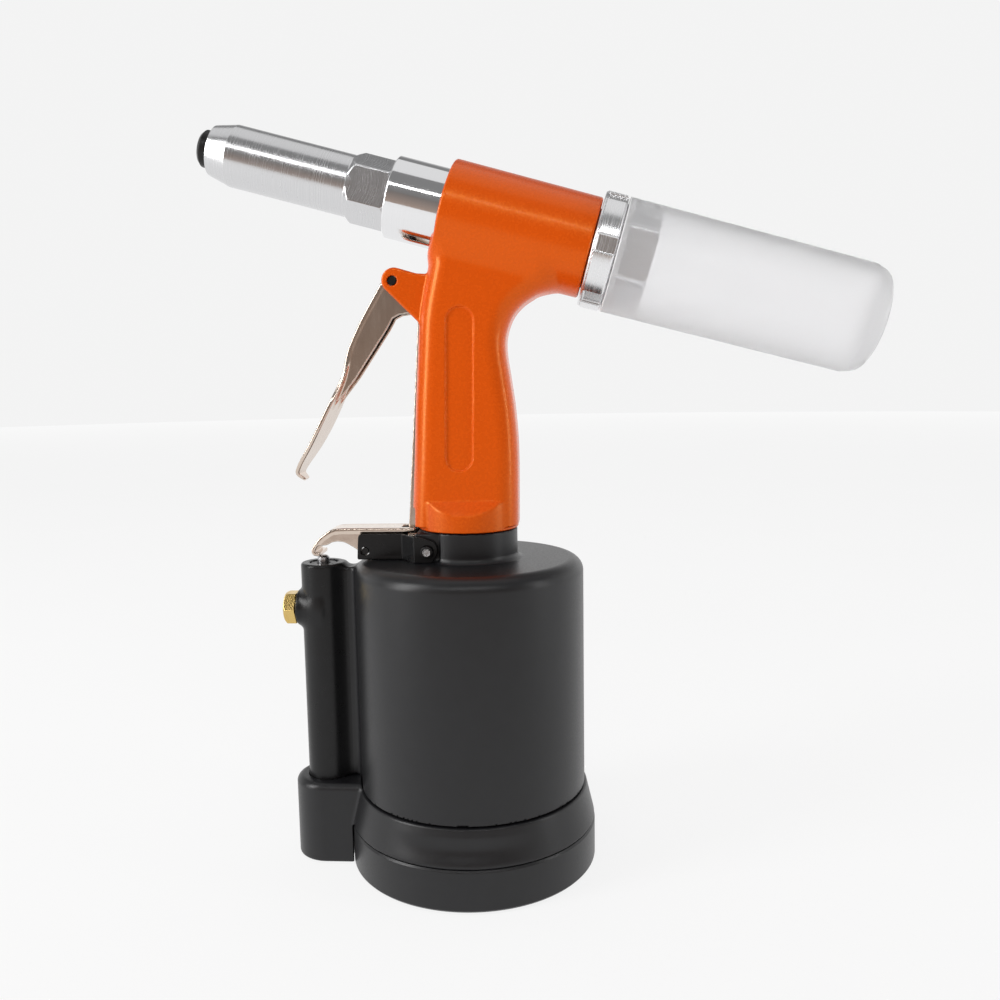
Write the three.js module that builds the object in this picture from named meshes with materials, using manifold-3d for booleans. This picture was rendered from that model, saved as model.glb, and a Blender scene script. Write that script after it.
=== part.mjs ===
// Pneumatic rivet gun: an air-over-hydraulic tool that pulls blind rivets.
// Millimetres, +Z up. The origin is the middle of the foot, on the axis of the air cylinder.
// The nose points towards -X and the plane Y = 0 is the plane of the handle and the barrel.

import * as THREE from 'three';
import { mergeVertices } from 'three/addons/utils/BufferGeometryUtils.js';
import Module from 'manifold-3d';

const wasm = await Module();
wasm.setup();

// ---------------------------------------------------------------- driving dimensions

const GAP = 0.3;                    // running or seating gap between neighbouring pieces

// barrel: local X runs backwards along its axis, from the nose to the bottle
const BARREL_TILT = THREE.MathUtils.degToRad(15.6);
const BARREL_Z = 253.8;             // height of the barrel axis over the cylinder axis
const BARREL_FRONT = -6.5;
const BARREL_REAR = 50.1;
const BARREL_FRONT_R = 19.4;
const BARREL_REAR_R = 18.9;
const OIL_BORE_R = 14.0;

// nose, from the sleeve to the tip
const SLEEVE_FRONT = -27.5;
const SLEEVE_R = 15.4;
const HEX_FRONT = -43.6;
const HEX_FLATS = 23.3;
const NOSE_FRONT = -89.9;
const NOSE_R = 11.6;
const CONE_FRONT = -98.5;
const CONE_R = 9.4;
const TIP_FRONT = -103;
const TIP_R = 7;
const JAW_BORE_R = 8.6;
const MANDREL_R = 1.8;

// rear cap and bottle
const CAP_R = 21.8;
const CAP_REAR = 59.3;
const CAP_HEX_REAR = 73;
const CAP_HEX_FLATS = 33.6;
const CAP_HEX_CORNER_R = 19.0;
const CAP_NOTCHES = 6;
const GUIDE_R = 2.9;
const BOTTLE_MOUTH_R = 21.6;
const BOTTLE_END_R = 20.6;
const BOTTLE_END = 160;
const BOTTLE_WALL = 1.5;

// handle
const RIM_Z = 134.6;                // lower rim of the handle
const RIM_R = 19.7;
const LEDGE_Z = 141;                // the rim slopes in to the flat sides from this height
const LEDGE_TOP = 146.2;
const NOTCH_Z = 142.9;              // below this height the groove walls of the pull rod end
const HANDLE_HALF = 13.65;          // half width between the flat sides
const RAM_BORE_R = 8;

// trigger and its linkage
const PIVOT = { x: -26.3, z: 229.3 };
const CHEEK_OUTER = 9;
const CHEEK_INNER = 5.6;
const TRIGGER_HALF = 5.0;
const SHEET = 1.5;
const TRIGGER_SHEET = 1.6;
const PIN_R = 1.7;
const ROD_FOOT = { x: -22.19, z: 130 };
const ROD_TOP = { x: -15.45, z: 226.2 };
const ROD_THICK = 3.2;
const ROD_WIDTH = 5;
const LEVER_PIVOT = { x: -40.1, z: 126.1 };
const LEVER_HALF = 6.2;
const LEVER_TOP = 134.9;
const BRACKET_HALF = 8.1;
const EAR_HALF = 15.8;

// air cylinder and base
const FOOT_R = 49.1;
const STEP_Z = 16.6;
const SEAM_Z = 30.8;
const SEAM_R = 45.8;
const CYLINDER_R = 45;
const CYLINDER_BORE_R = 41.6;
const CYLINDER_TOP = 122.5;
const CYLINDER_ROOF = 114;
const NECK_R = 19.2;
const NECK_TOP = RIM_Z - GAP;
const NECK_BORE_R = 13.3;
const COLLAR_BORE_R = 38;
const RAM_R = 7;
const RAM_TOP = 142;

// valve column
const VALVE_X = -58.7;
const COLUMN_R = 9;
const COLUMN_TOP = 120.6;
const COLUMN_BOTTOM = 20;
const VALVE_BORE_R = 5.5;
const BOSS_R = 14;
const BOSS_TOP = 33;
const BOSS_BOTTOM = 1.6;
const INLET_Z = 102;
const INLET_FACE = -74.5;
const INLET_HEX_REAR = -69.7;
const INLET_END = -66;
const INLET_HEX_R = 7;
const INLET_BORE_R = 4.2;
const STEM_TOP = 123.3;
const STEM_R = 2.4;

// segments around a turn
const FINE = 34;
const MEDIUM = 24;
const SMALL = 14;
const TINY = 10;

// ---------------------------------------------------------------- materials

const FINISH = {
  orange: { color: 0xd6511b, roughness: 0.28, metalness: 0.0 },
  black: { color: 0x2c2c2f, roughness: 0.5, metalness: 0.1 },
  chrome: { color: 0xd9dadb, roughness: 0.07, metalness: 1.0 },
  steel: { color: 0xb8b9ba, roughness: 0.25, metalness: 1.0 },
  nickel: { color: 0xc2b6a8, roughness: 0.2, metalness: 1.0 },
  aluminium: { color: 0xd2d3d4, roughness: 0.3, metalness: 1.0 },
  tip: { color: 0x17171a, roughness: 0.45, metalness: 0.4 },
  brass: { color: 0xc9a64f, roughness: 0.3, metalness: 1.0 },
  frosted: { color: 0xf0f0f2, roughness: 0.5, metalness: 0.0 },
  rubber: { color: 0x161617, roughness: 0.8, metalness: 0.0 },
  spring: { color: 0x8d9094, roughness: 0.35, metalness: 1.0 },
  bronze: { color: 0x9c7a4a, roughness: 0.7, metalness: 0.8 },
};

// ---------------------------------------------------------------- closed meshes and booleans

// Merged positions only, no needle triangles, and faces that point outwards.
function closed(geometry) {
  const bare = geometry.clone();
  bare.deleteAttribute('normal');
  bare.deleteAttribute('uv');
  const whole = mergeVertices(bare, 1e-4);
  const kept = [];
  for (let i = 0; i < whole.index.count; i += 3) {
    const [a, b, c] = [0, 1, 2].map((k) => whole.index.getX(i + k));
    if (a !== b && b !== c && c !== a) kept.push(a, b, c);
  }
  whole.setIndex(kept);
  if (volume(whole) < 0) whole.setIndex(kept.reverse());
  return whole;
}

function volume(geometry) {
  const place = geometry.attributes.position;
  const points = [0, 1, 2].map(() => new THREE.Vector3());
  let total = 0;
  for (let i = 0; i < geometry.index.count; i += 3) {
    points.forEach((p, k) => p.fromBufferAttribute(place, geometry.index.getX(i + k)));
    total += points[0].dot(points[1].clone().cross(points[2]));
  }
  return total / 6;
}

function toSolid(geometry) {
  const whole = closed(geometry);
  return new wasm.Manifold(new wasm.Mesh({
    numProp: 3,
    vertProperties: new Float32Array(whole.attributes.position.array),
    triVerts: new Uint32Array(whole.index.array),
  }));
}

function toGeometry(solid) {
  const mesh = solid.getMesh();
  const geometry = new THREE.BufferGeometry();
  geometry.setAttribute('position', new THREE.BufferAttribute(mesh.vertProperties, 3));
  geometry.setIndex(new THREE.BufferAttribute(mesh.triVerts, 1));
  return geometry;
}

const join = (first, ...others) => toGeometry(others.reduce((sum, g) => sum.add(toSolid(g)), toSolid(first)));
function cut(first, ...others) {
  return toGeometry(others.reduce((sum, other) => sum.subtract(toSolid(other)), toSolid(first)));
}
function common(first, ...others) {
  return toGeometry(others.reduce((sum, other) => sum.intersect(toSolid(other)), toSolid(first)));
}

// ---------------------------------------------------------------- basic shapes

// A turned piece about Z. The profile is a list of [radius, height].
function turned(profile, segments = MEDIUM) {
  const points = profile.map(([r, z]) => new THREE.Vector2(r, z));
  return new THREE.LatheGeometry(points, segments).rotateX(Math.PI / 2);
}

// A turned piece about the barrel's local X. The profile is a list of [radius, x].
function turnedX(profile, segments = MEDIUM) {
  return turned(profile, segments).rotateY(Math.PI / 2);
}

const ringProfile = (outer, inner, low, high) =>
  [[inner, low], [outer, low], [outer, high], [inner, high], [inner, low]];
const rodProfile = (radius, low, high) => [[0, low], [radius, low], [radius, high], [0, high]];

const rod = (radius, low, high, segments) => turned(rodProfile(radius, low, high), segments);
const rodX = (radius, low, high, segments) => turnedX(rodProfile(radius, low, high), segments);
const tube = (outer, inner, low, high, segments) => turned(ringProfile(outer, inner, low, high), segments);
const tubeX = (outer, inner, low, high, segments) => turnedX(ringProfile(outer, inner, low, high), segments);

// A rod across the tool, along Y, between two values of y.
function crossRod(radius, from, to, at, segments = TINY) {
  return rod(radius, -to, -from, segments).rotateX(Math.PI / 2).translate(at.x, 0, at.z);
}

function box(from, to) {
  const size = to.map((value, k) => value - from[k]);
  const middle = to.map((value, k) => (value + from[k]) / 2);
  return new THREE.BoxGeometry(...size).translate(...middle);
}

function outline(points) {
  return new THREE.Shape(points.map(([a, b]) => new THREE.Vector2(a, b)));
}

// A plate in the XZ plane, from y = from to y = to.
function plate(shape, from, to) {
  const flat = new THREE.ExtrudeGeometry(shape, { depth: to - from, bevelEnabled: false, curveSegments: 6 });
  return flat.rotateX(Math.PI / 2).translate(0, to, 0);
}

// A plate in the YZ plane, from x = from to x = to.
function platePlanX(shape, from, to) {
  const flat = new THREE.ExtrudeGeometry(shape, { depth: to - from, bevelEnabled: false, curveSegments: 6 });
  return flat.rotateX(Math.PI / 2).rotateZ(Math.PI / 2).translate(from, 0, 0);
}

// A plate in the XY plane, from z = low to z = high.
function slab(shape, low, high) {
  return new THREE.ExtrudeGeometry(shape, { depth: high - low, bevelEnabled: false, curveSegments: 6 })
    .translate(0, 0, low);
}

// A hexagonal prism about X with a flat facing -Y and +Y.
function hexX(flats, from, to) {
  const corner = flats / Math.sqrt(3);
  const geometry = new THREE.CylinderGeometry(corner, corner, to - from, 6);
  return geometry.rotateZ(-Math.PI / 2).translate((from + to) / 2, 0, 0);
}

// A sheet of even thickness that follows a line in the XZ plane, its outer face on the line.
function bentSheet(line, thickness, half) {
  const inner = line.map((p, i) => {
    const before = line[Math.max(i - 1, 0)];
    const after = line[Math.min(i + 1, line.length - 1)];
    const along = after.clone().sub(before).normalize();
    return new THREE.Vector2(p.x - along.y * thickness, p.y + along.x * thickness);
  });
  return plate(new THREE.Shape([...line, ...inner.reverse()]), -half, half);
}

function spline(points, divisions) {
  return new THREE.SplineCurve(points.map(([a, b]) => new THREE.Vector2(a, b))).getPoints(divisions);
}

class Helix extends THREE.Curve {
  constructor(radius, low, high, turns) {
    super();
    Object.assign(this, { radius, low, high, turns });
  }

  getPoint(t, target = new THREE.Vector3()) {
    const angle = 2 * Math.PI * this.turns * t;
    const height = THREE.MathUtils.lerp(this.low, this.high, t);
    return target.set(this.radius * Math.cos(angle), this.radius * Math.sin(angle), height);
  }
}

// A coil spring about Z between two heights.
function coil(radius, wire, low, high, turns) {
  const section = new THREE.Shape().absarc(0, 0, wire, 0, 2 * Math.PI);
  const path = new Helix(radius, low + wire, high - wire, turns);
  return new THREE.ExtrudeGeometry(section, {
    steps: Math.round(turns * 10), curveSegments: 2, extrudePath: path, bevelEnabled: false,
  });
}

// ---------------------------------------------------------------- placing pieces

const gun = new THREE.Group();
const barrel = new THREE.Group();
barrel.position.z = BARREL_Z;
barrel.rotation.y = BARREL_TILT;
barrel.updateMatrix();
gun.add(barrel);

function piece(name, finish, geometry, parent = gun) {
  const mesh = new THREE.Mesh(closed(geometry), new THREE.MeshStandardMaterial(FINISH[finish]));
  mesh.name = name;
  parent.add(mesh);
}

const onBarrel = (geometry) => geometry.applyMatrix4(barrel.matrix);

// ---------------------------------------------------------------- body casting

// Front and rear edges of the handle in the XZ plane, from below upwards: [z, x].
const HANDLE_FRONT_EDGE = [
  [136, -21.3], [NOTCH_Z, -20.9], [164, -19.7], [182, -18.8],
  [200, -17.6], [214, -16.6], [232, -12.6], [240, -11],
];
const HANDLE_REAR_EDGE = [
  [136, 19.7], [150, 20.1], [166, 20.2], [180, 19.3], [192, 17.6], [200, 16.4], [206, 16.0],
  [211, 16.9], [216, 19.2], [220, 22.8], [223, 27.4], [225.5, 33], [240, 35],
];

function edgeAt(edge, z) {
  const next = Math.max(1, edge.findIndex(([height]) => height >= z));
  const [low, high] = [edge[next - 1], edge[next]];
  return THREE.MathUtils.mapLinear(z, low[0], high[0], low[1], high[1]);
}

// The grip: rounded rectangular sections between the front and rear edges.
function grip() {
  const bottom = HANDLE_FRONT_EDGE[0][0];
  const top = HANDLE_FRONT_EDGE.at(-1)[0];
  const roundness = 2 / 3.2;
  const form = new THREE.CylinderGeometry(1, 1, 1, 28, 13).rotateX(Math.PI / 2);
  const place = form.attributes.position;
  for (let i = 0; i < place.count; i += 1) {
    const z = THREE.MathUtils.lerp(bottom, top, place.getZ(i) + 0.5);
    const [front, rear] = [edgeAt(HANDLE_FRONT_EDGE, z), edgeAt(HANDLE_REAR_EDGE, z)];
    const bulge = (value) => Math.sign(value) * Math.abs(value) ** roundness;
    const x = (front + rear) / 2 + bulge(place.getX(i)) * (rear - front) / 2;
    place.setXYZ(i, x, bulge(place.getY(i)) * HANDLE_HALF, z);
  }
  return form;
}

// The round rim at the foot of the handle and its spigot. A sloping ledge runs in to each flat side.
function handleRim() {
  const round = turned([
    [0, 116], [13, 116], [13, RIM_Z], [RIM_R - 0.4, RIM_Z], [RIM_R, RIM_Z + 0.5],
    [RIM_R, LEDGE_TOP], [0, LEDGE_TOP],
  ], FINE);
  const ledges = outline([
    [-RIM_R - 1, 115], [RIM_R + 1, 115], [RIM_R + 1, LEDGE_Z - 0.8], [HANDLE_HALF, LEDGE_TOP],
    [-HANDLE_HALF, LEDGE_TOP], [-RIM_R - 1, LEDGE_Z - 0.8],
  ]);
  return common(round, platePlanX(ledges, -30, 30));
}

function barrelHousing() {
  return onBarrel(turnedX([
    [0, BARREL_FRONT], [BARREL_FRONT_R - 1, BARREL_FRONT], [BARREL_FRONT_R, BARREL_FRONT + 1],
    [BARREL_REAR_R, BARREL_REAR - 0.5], [BARREL_REAR_R - 0.5, BARREL_REAR], [0, BARREL_REAR],
  ], FINE));
}

// The two cheeks that carry the trigger pin, before the slot between them is cut.
function cheeks() {
  const end = new THREE.Shape();
  end.moveTo(-10, 231);
  end.lineTo(-17, 231.8);
  end.lineTo(-24.6, 234.1);
  end.absarc(-25.6, 229.4, 4.8, 1.36, 3.75, false);
  end.lineTo(-16, 213);
  end.lineTo(-10, 213);
  return plate(end, -CHEEK_OUTER, CHEEK_OUTER);
}

// Shallow pocket with round ends on each flat side of the grip.
function sidePocket(side) {
  const pocket = new THREE.Shape();
  pocket.absarc(0, 25.5, 5.2, 0, Math.PI, false);
  pocket.absarc(0, -25.5, 5.2, Math.PI, 2 * Math.PI, false);
  const inner = HANDLE_HALF - 0.8;
  return plate(pocket, inner, inner + 4).scale(1, side, 1).rotateY(0.022).translate(-1.2, 0, 188.3);
}

function bodyBores() {
  return [
    onBarrel(rodX(OIL_BORE_R, BARREL_FRONT - 1, BARREL_REAR + 1)),
    onBarrel(rodX(OIL_BORE_R + 0.7, BARREL_FRONT - 1, -0.7)),
    onBarrel(rodX(OIL_BORE_R + 1, 39, BARREL_REAR + 1)),
    rod(RAM_BORE_R, 115, 246, SMALL),
    rod(10.5, 115, 126.4, SMALL),
  ];
}

// The groove that holds the pull rod, parallel to the rod.
function rodGroove() {
  const lean = Math.atan2(ROD_TOP.x - ROD_FOOT.x, ROD_TOP.z - ROD_FOOT.z);
  const length = 98;
  return box([-8, -3, 0], [ROD_THICK / 2 + 0.35, 3, length])
    .rotateY(lean).translate(ROD_FOOT.x, 0, ROD_FOOT.z + 3);
}

function body() {
  const casting = join(grip(), handleRim(), barrelHousing(), cheeks());
  const notch = box([-40, -20, RIM_Z - 5], [-RIM_R - 0.1, 20, NOTCH_Z]);
  const slot = box([-40, -CHEEK_INNER, 205], [-12, CHEEK_INNER, 236.5]);
  const pinHole = crossRod(PIN_R + 0.1, -20, 20, PIVOT);
  const fillHole = crossRod(3.2, HANDLE_HALF - 6, HANDLE_HALF + 3, { x: 4, z: 228 });
  return cut(casting, ...bodyBores(), notch, slot, rodGroove(), pinHole, fillHole,
    sidePocket(1), sidePocket(-1));
}

// ---------------------------------------------------------------- nose

function headSleeve() {
  return turnedX([
    [10.2, SLEEVE_FRONT], [SLEEVE_R - 0.6, SLEEVE_FRONT], [SLEEVE_R, SLEEVE_FRONT + 0.6],
    [SLEEVE_R, BARREL_FRONT - 0.4], [14.4, BARREL_FRONT - 0.4], [14.4, -1],
    [6.9, -1], [6.9, -9], [10.2, -12], [10.2, SLEEVE_FRONT],
  ], FINE);
}

function noseHousing() {
  const shell = turnedX([
    [JAW_BORE_R, -18], [JAW_BORE_R, -88], [5, -88], [5, CONE_FRONT], [CONE_R, CONE_FRONT],
    [NOSE_R, NOSE_FRONT], [NOSE_R, HEX_FRONT + 2], [9.9, HEX_FRONT + 2], [9.9, -18], [JAW_BORE_R, -18],
  ]);
  const corner = HEX_FLATS / Math.sqrt(3);
  const chamfer = turnedX([
    [JAW_BORE_R + 0.5, HEX_FRONT], [NOSE_R, HEX_FRONT], [corner, HEX_FRONT + 2.6],
    [corner, SLEEVE_FRONT - GAP - 0.8], [corner - 0.8, SLEEVE_FRONT - GAP],
    [JAW_BORE_R + 0.5, SLEEVE_FRONT - GAP], [JAW_BORE_R + 0.5, HEX_FRONT],
  ]);
  return join(shell, common(chamfer, hexX(HEX_FLATS, HEX_FRONT - 1, SLEEVE_FRONT)));
}

function noseTip() {
  return turnedX([
    [MANDREL_R, -87], [MANDREL_R, TIP_FRONT + 1], [MANDREL_R + 1, TIP_FRONT], [TIP_R - 1.2, TIP_FRONT],
    [TIP_R, TIP_FRONT + 1.2], [TIP_R, CONE_FRONT - GAP], [4.7, CONE_FRONT - GAP], [4.7, -87],
    [MANDREL_R, -87],
  ], SMALL);
}

// ---------------------------------------------------------------- pulling parts inside the barrel

const CASE_CONE = { front: -86, rear: -64, frontR: 4.4, rearR: 7.2 };
const caseConeR = (x) => THREE.MathUtils.mapLinear(
  x, CASE_CONE.front, CASE_CONE.rear, CASE_CONE.frontR, CASE_CONE.rearR);

function jawCase() {
  return turnedX([
    [CASE_CONE.frontR, CASE_CONE.front], [8.0, CASE_CONE.front], [8.2, -85], [8.2, -38], [6.9, -38],
    [6.9, -50], [CASE_CONE.rearR, -50], [CASE_CONE.rearR, CASE_CONE.rear],
    [CASE_CONE.frontR, CASE_CONE.front],
  ], SMALL);
}

// One of three equal jaws: a third of a cone, with a slit to its neighbours.
function jaw(index) {
  const [front, rear, slack] = [-84, -66.4, 0.6];
  const cone = turnedX([
    [1.2, front], [caseConeR(front) - slack, front], [caseConeR(rear) - slack, rear], [1.2, rear],
    [1.2, front],
  ], SMALL);
  const third = new THREE.Shape([
    new THREE.Vector2(0.5, 0), new THREE.Vector2(12, 19.9), new THREE.Vector2(12, -19.9),
  ]);
  const wedge = platePlanX(third, front - 1, rear + 1);
  return common(cone, wedge.rotateX(index * 2 * Math.PI / 3));
}

function jawPusher() {
  return turnedX([[2.2, -66], [4.2, -66], [6.4, -63.6], [6.4, -58.6], [2.2, -58.6], [2.2, -66]], SMALL);
}

// The pull piston: head with a seal groove, and the rod that carries the jaw case.
function pullPiston() {
  return turnedX([
    [3.2, -46.5], [6.5, -46.5], [6.5, 6], [12, 6], [13.7, 7.7], [13.7, 10], [11.2, 10], [11.2, 13.6],
    [13.7, 13.6], [13.7, 17], [3.2, 17], [3.2, -46.5],
  ], MEDIUM);
}

// ---------------------------------------------------------------- rear cap and bottle

function rearCap() {
  const turnedBody = turnedX([
    [3.2, 46.8], [12.4, 46.8], [12.4, 39.4], [14.7, 39.4], [14.7, BARREL_REAR + 0.4],
    [CAP_R - 0.6, BARREL_REAR + 0.4], [CAP_R, BARREL_REAR + 1], [CAP_R, CAP_REAR - 0.6],
    [CAP_R - 0.6, CAP_REAR], [CAP_HEX_CORNER_R, CAP_REAR], [CAP_HEX_CORNER_R, CAP_HEX_REAR - 1],
    [CAP_HEX_CORNER_R - 1, CAP_HEX_REAR], [3.2, CAP_HEX_REAR], [3.2, 46.8],
  ], FINE);
  const disc = rodX(CAP_R + 1, BARREL_REAR - 15, CAP_REAR);
  const hexagon = hexX(CAP_HEX_FLATS, CAP_REAR - 1, CAP_HEX_REAR + 1);
  const notches = Array.from({ length: CAP_NOTCHES }, (_, i) =>
    box([BARREL_REAR + 1.6, -3.3, CAP_R - 1.2], [CAP_REAR + 0.1, 3.3, CAP_R + 2])
      .rotateX((i + 0.5) * 2 * Math.PI / CAP_NOTCHES));
  return cut(common(turnedBody, join(disc, hexagon)), ...notches);
}

function bottle() {
  const mouth = CAP_REAR + 0.4;
  const taper = (x) => THREE.MathUtils.mapLinear(x, mouth, BOTTLE_END - 8, BOTTLE_MOUTH_R, BOTTLE_END_R);
  return turnedX([
    [taper(mouth) - BOTTLE_WALL, mouth], [taper(mouth), mouth], [taper(BOTTLE_END - 6), BOTTLE_END - 6],
    [BOTTLE_END_R - 1.8, BOTTLE_END - 2], [BOTTLE_END_R - 5.6, BOTTLE_END], [0, BOTTLE_END],
    [0, BOTTLE_END - BOTTLE_WALL], [BOTTLE_END_R - 6, BOTTLE_END - BOTTLE_WALL],
    [BOTTLE_END_R - 2.6, BOTTLE_END - 5.4], [taper(mouth) - BOTTLE_WALL, mouth],
  ], FINE);
}

// ---------------------------------------------------------------- trigger and linkage

// Outer face of the finger plate, from the pin down to the hooked tip.
const TRIGGER_LINE = [
  [-31.2, 228.6], [-39.6, 214.8], [-44.6, 204.5], [-47.8, 193], [-54.3, 179.3], [-60.4, 168.3],
  [-65.9, 159.9], [-67.2, 156.2], [-64.8, 153.2],
];

// One side flange of the trigger; it hides the link to the pull rod behind the cheeks.
function triggerFlange() {
  const flange = new THREE.Shape();
  flange.moveTo(-31.2, 228.6);
  flange.lineTo(PIVOT.x - 4.6, PIVOT.z);
  flange.absarc(PIVOT.x, PIVOT.z, 4.6, Math.PI, Math.PI / 2, true);
  flange.lineTo(-15, 229);
  flange.absarc(ROD_TOP.x, ROD_TOP.z, 2.3, 1.3, -0.5, true);
  flange.lineTo(-16.4, 217.9);
  flange.lineTo(-24.6, 216.9);
  flange.quadraticCurveTo(-27.4, 216, -29.6, 211.4);
  flange.lineTo(-42.2, 193);
  flange.lineTo(-51.6, 181.5);
  flange.lineTo(-52.8, 182.4);
  flange.lineTo(-47.6, 193.4);
  flange.lineTo(-44.4, 204.5);
  flange.lineTo(-39.4, 214.8);
  return flange;
}

function trigger() {
  const line = spline(TRIGGER_LINE, 18);
  const front = new THREE.Shape();
  front.moveTo(-TRIGGER_HALF, 232);
  front.lineTo(-TRIGGER_HALF, 204);
  front.quadraticCurveTo(-6, 192, -10.6, 184);
  front.lineTo(-10.6, 176);
  front.quadraticCurveTo(-10, 152, 0, 152);
  front.quadraticCurveTo(10, 152, 10.6, 176);
  front.lineTo(10.6, 184);
  front.quadraticCurveTo(6, 192, TRIGGER_HALF, 204);
  front.lineTo(TRIGGER_HALF, 232);
  const fingerPlate = common(bentSheet(line, TRIGGER_SHEET, 12), platePlanX(front, -80, -20));
  const flanges = [-1, 1].map((side) => {
    const inner = TRIGGER_HALF - SHEET;
    return plate(triggerFlange(), side > 0 ? inner : -TRIGGER_HALF, side > 0 ? TRIGGER_HALF : -inner);
  });
  const holes = [
    crossRod(PIN_R + 0.3, -20, 20, PIVOT),
    crossRod(1.3, -20, 20, ROD_TOP),
  ];
  return cut(join(fingerPlate, ...flanges), ...holes);
}

const triggerPin = () => crossRod(PIN_R, -CHEEK_OUTER + 0.6, CHEEK_OUTER - 0.6, PIVOT);

// The rivet that joins the trigger to the pull rod.
const linkPin = () => crossRod(1.0, -TRIGGER_HALF, TRIGGER_HALF, ROD_TOP);

// The plated strip in front of the handle, with a crosswise foot under the rocker lever.
function pullRod() {
  const lean = Math.atan2(ROD_TOP.x - ROD_FOOT.x, ROD_TOP.z - ROD_FOOT.z);
  const length = Math.hypot(ROD_TOP.x - ROD_FOOT.x, ROD_TOP.z - ROD_FOOT.z);
  const strip = box([-ROD_THICK / 2, -ROD_WIDTH / 2, 0], [ROD_THICK / 2, ROD_WIDTH / 2, length]);
  const head = crossRod(2.1, -ROD_WIDTH / 2, ROD_WIDTH / 2, { x: 0, z: length });
  const foot = box([-ROD_THICK / 2, -5.4, 0], [ROD_THICK / 2, 5.4, 2.2]);
  const hole = crossRod(1.5, -5, 5, { x: 0, z: length });
  return cut(join(strip, head, foot), hole).rotateY(lean).translate(ROD_FOOT.x, 0, ROD_FOOT.z);
}

// The rocker lever: an inverted channel whose nose curls down onto the valve stem.
function rockerLever() {
  const line = spline([
    [-20.6, LEVER_TOP], [-38, LEVER_TOP], [-51.5, LEVER_TOP - 0.2], [-55.6, LEVER_TOP - 1.7],
    [-59.4, 130.2], [-61.8, 126.4], [-61.2, 124.2], [-58.6, 123.7],
  ], 18).reverse();
  const top = bentSheet(line, -SHEET, LEVER_HALF);
  const side = new THREE.Shape();
  side.moveTo(-20.6, LEVER_TOP - 0.4);
  side.lineTo(-51.5, LEVER_TOP - 0.5);
  side.lineTo(-55.6, LEVER_TOP - 2.1);
  side.lineTo(-59, 130);
  side.lineTo(-59.8, 128.2);
  side.quadraticCurveTo(-55.6, 127.6, -53.6, 129.3);
  side.quadraticCurveTo(-50, 130.2, -45.4, 127.6);
  side.absarc(LEVER_PIVOT.x, LEVER_PIVOT.z, 3.1, Math.PI, 2 * Math.PI, false);
  side.lineTo(-28, LEVER_TOP - 2);
  side.lineTo(-20.6, LEVER_TOP - 2);
  const sides = [[-LEVER_HALF, SHEET - LEVER_HALF], [LEVER_HALF - SHEET, LEVER_HALF]]
    .map(([from, to]) => plate(side, from, to));
  const fork = box([-26.4, -3.1, LEVER_TOP - 3], [-20, 3.1, LEVER_TOP + 1]);
  return cut(join(top, ...sides), fork, crossRod(1.8, -10, 10, LEVER_PIVOT));
}

const leverPin = () => crossRod(1.45, -BRACKET_HALF + 0.5, BRACKET_HALF - 0.5, LEVER_PIVOT);

// The folded bracket: a channel around the lever that widens to an ear on each side of the neck.
function leverBracket() {
  const low = CYLINDER_TOP + GAP;
  const wall = (side) => {
    const inner = BRACKET_HALF - SHEET;
    const plan = outline([
      [-43.4, inner], [-25.4, inner], [-19.6, EAR_HALF - SHEET], [-10.4, EAR_HALF - SHEET],
      [-10.4, EAR_HALF], [-19.6, EAR_HALF], [-25.4, BRACKET_HALF], [-43.4, BRACKET_HALF],
    ]);
    return slab(plan, low, 132.9).scale(1, side, 1);
  };
  const profile = new THREE.Shape();
  profile.moveTo(-43.4, low);
  profile.lineTo(-12.6, low);
  profile.absarc(-14.6, 127.6, 4.2, -0.9, 1.0, false);
  profile.lineTo(-17.4, 132.9);
  profile.lineTo(-42.6, 132.9);
  const web = box([-37, -BRACKET_HALF + 0.1, low], [-26, BRACKET_HALF - 0.1, low + 1.1]);
  const shaped = common(join(wall(1), wall(-1), web), plate(profile, -20, 20));
  const screwHole = crossRod(2.3, -20, 20, { x: -14.6, z: 127.1 });
  return cut(shaped, crossRod(1.7, -20, 20, LEVER_PIVOT), screwHole);
}

// Screw that holds one ear of the bracket to the neck block.
function bracketScrew(side) {
  const at = { x: -14.6, z: 127.1 };
  const shank = crossRod(1.7, 10.5, EAR_HALF + GAP, at);
  const head = crossRod(2.5, EAR_HALF + GAP, EAR_HALF + 1.7, at, SMALL);
  const recess = new THREE.CylinderGeometry(1.3, 1.3, 2, 6).translate(at.x, EAR_HALF + 1.9, at.z);
  return cut(join(shank, head), recess).scale(1, side, 1);
}

// ---------------------------------------------------------------- air cylinder

function cylinderShell() {
  const round = 5.4;
  const shoulder = [0, 1, 2, 3].map((i) => {
    const angle = i * Math.PI / 6;
    return [CYLINDER_R - round + round * Math.cos(angle), CYLINDER_TOP - round + round * Math.sin(angle)];
  });
  return turned([
    [CYLINDER_BORE_R, SEAM_Z + GAP], [CYLINDER_R, SEAM_Z + GAP], ...shoulder,
    [NECK_R + 2.4, CYLINDER_TOP], [NECK_R + 0.7, CYLINDER_TOP + 0.8], [NECK_R, CYLINDER_TOP + 2.6],
    [NECK_R, NECK_TOP - 0.4], [NECK_R - 0.4, NECK_TOP], [NECK_BORE_R, NECK_TOP], [NECK_BORE_R, CYLINDER_ROOF],
    [CYLINDER_BORE_R - 3, CYLINDER_ROOF], [CYLINDER_BORE_R, CYLINDER_ROOF - 3],
    [CYLINDER_BORE_R, SEAM_Z + GAP],
  ], FINE);
}

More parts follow.
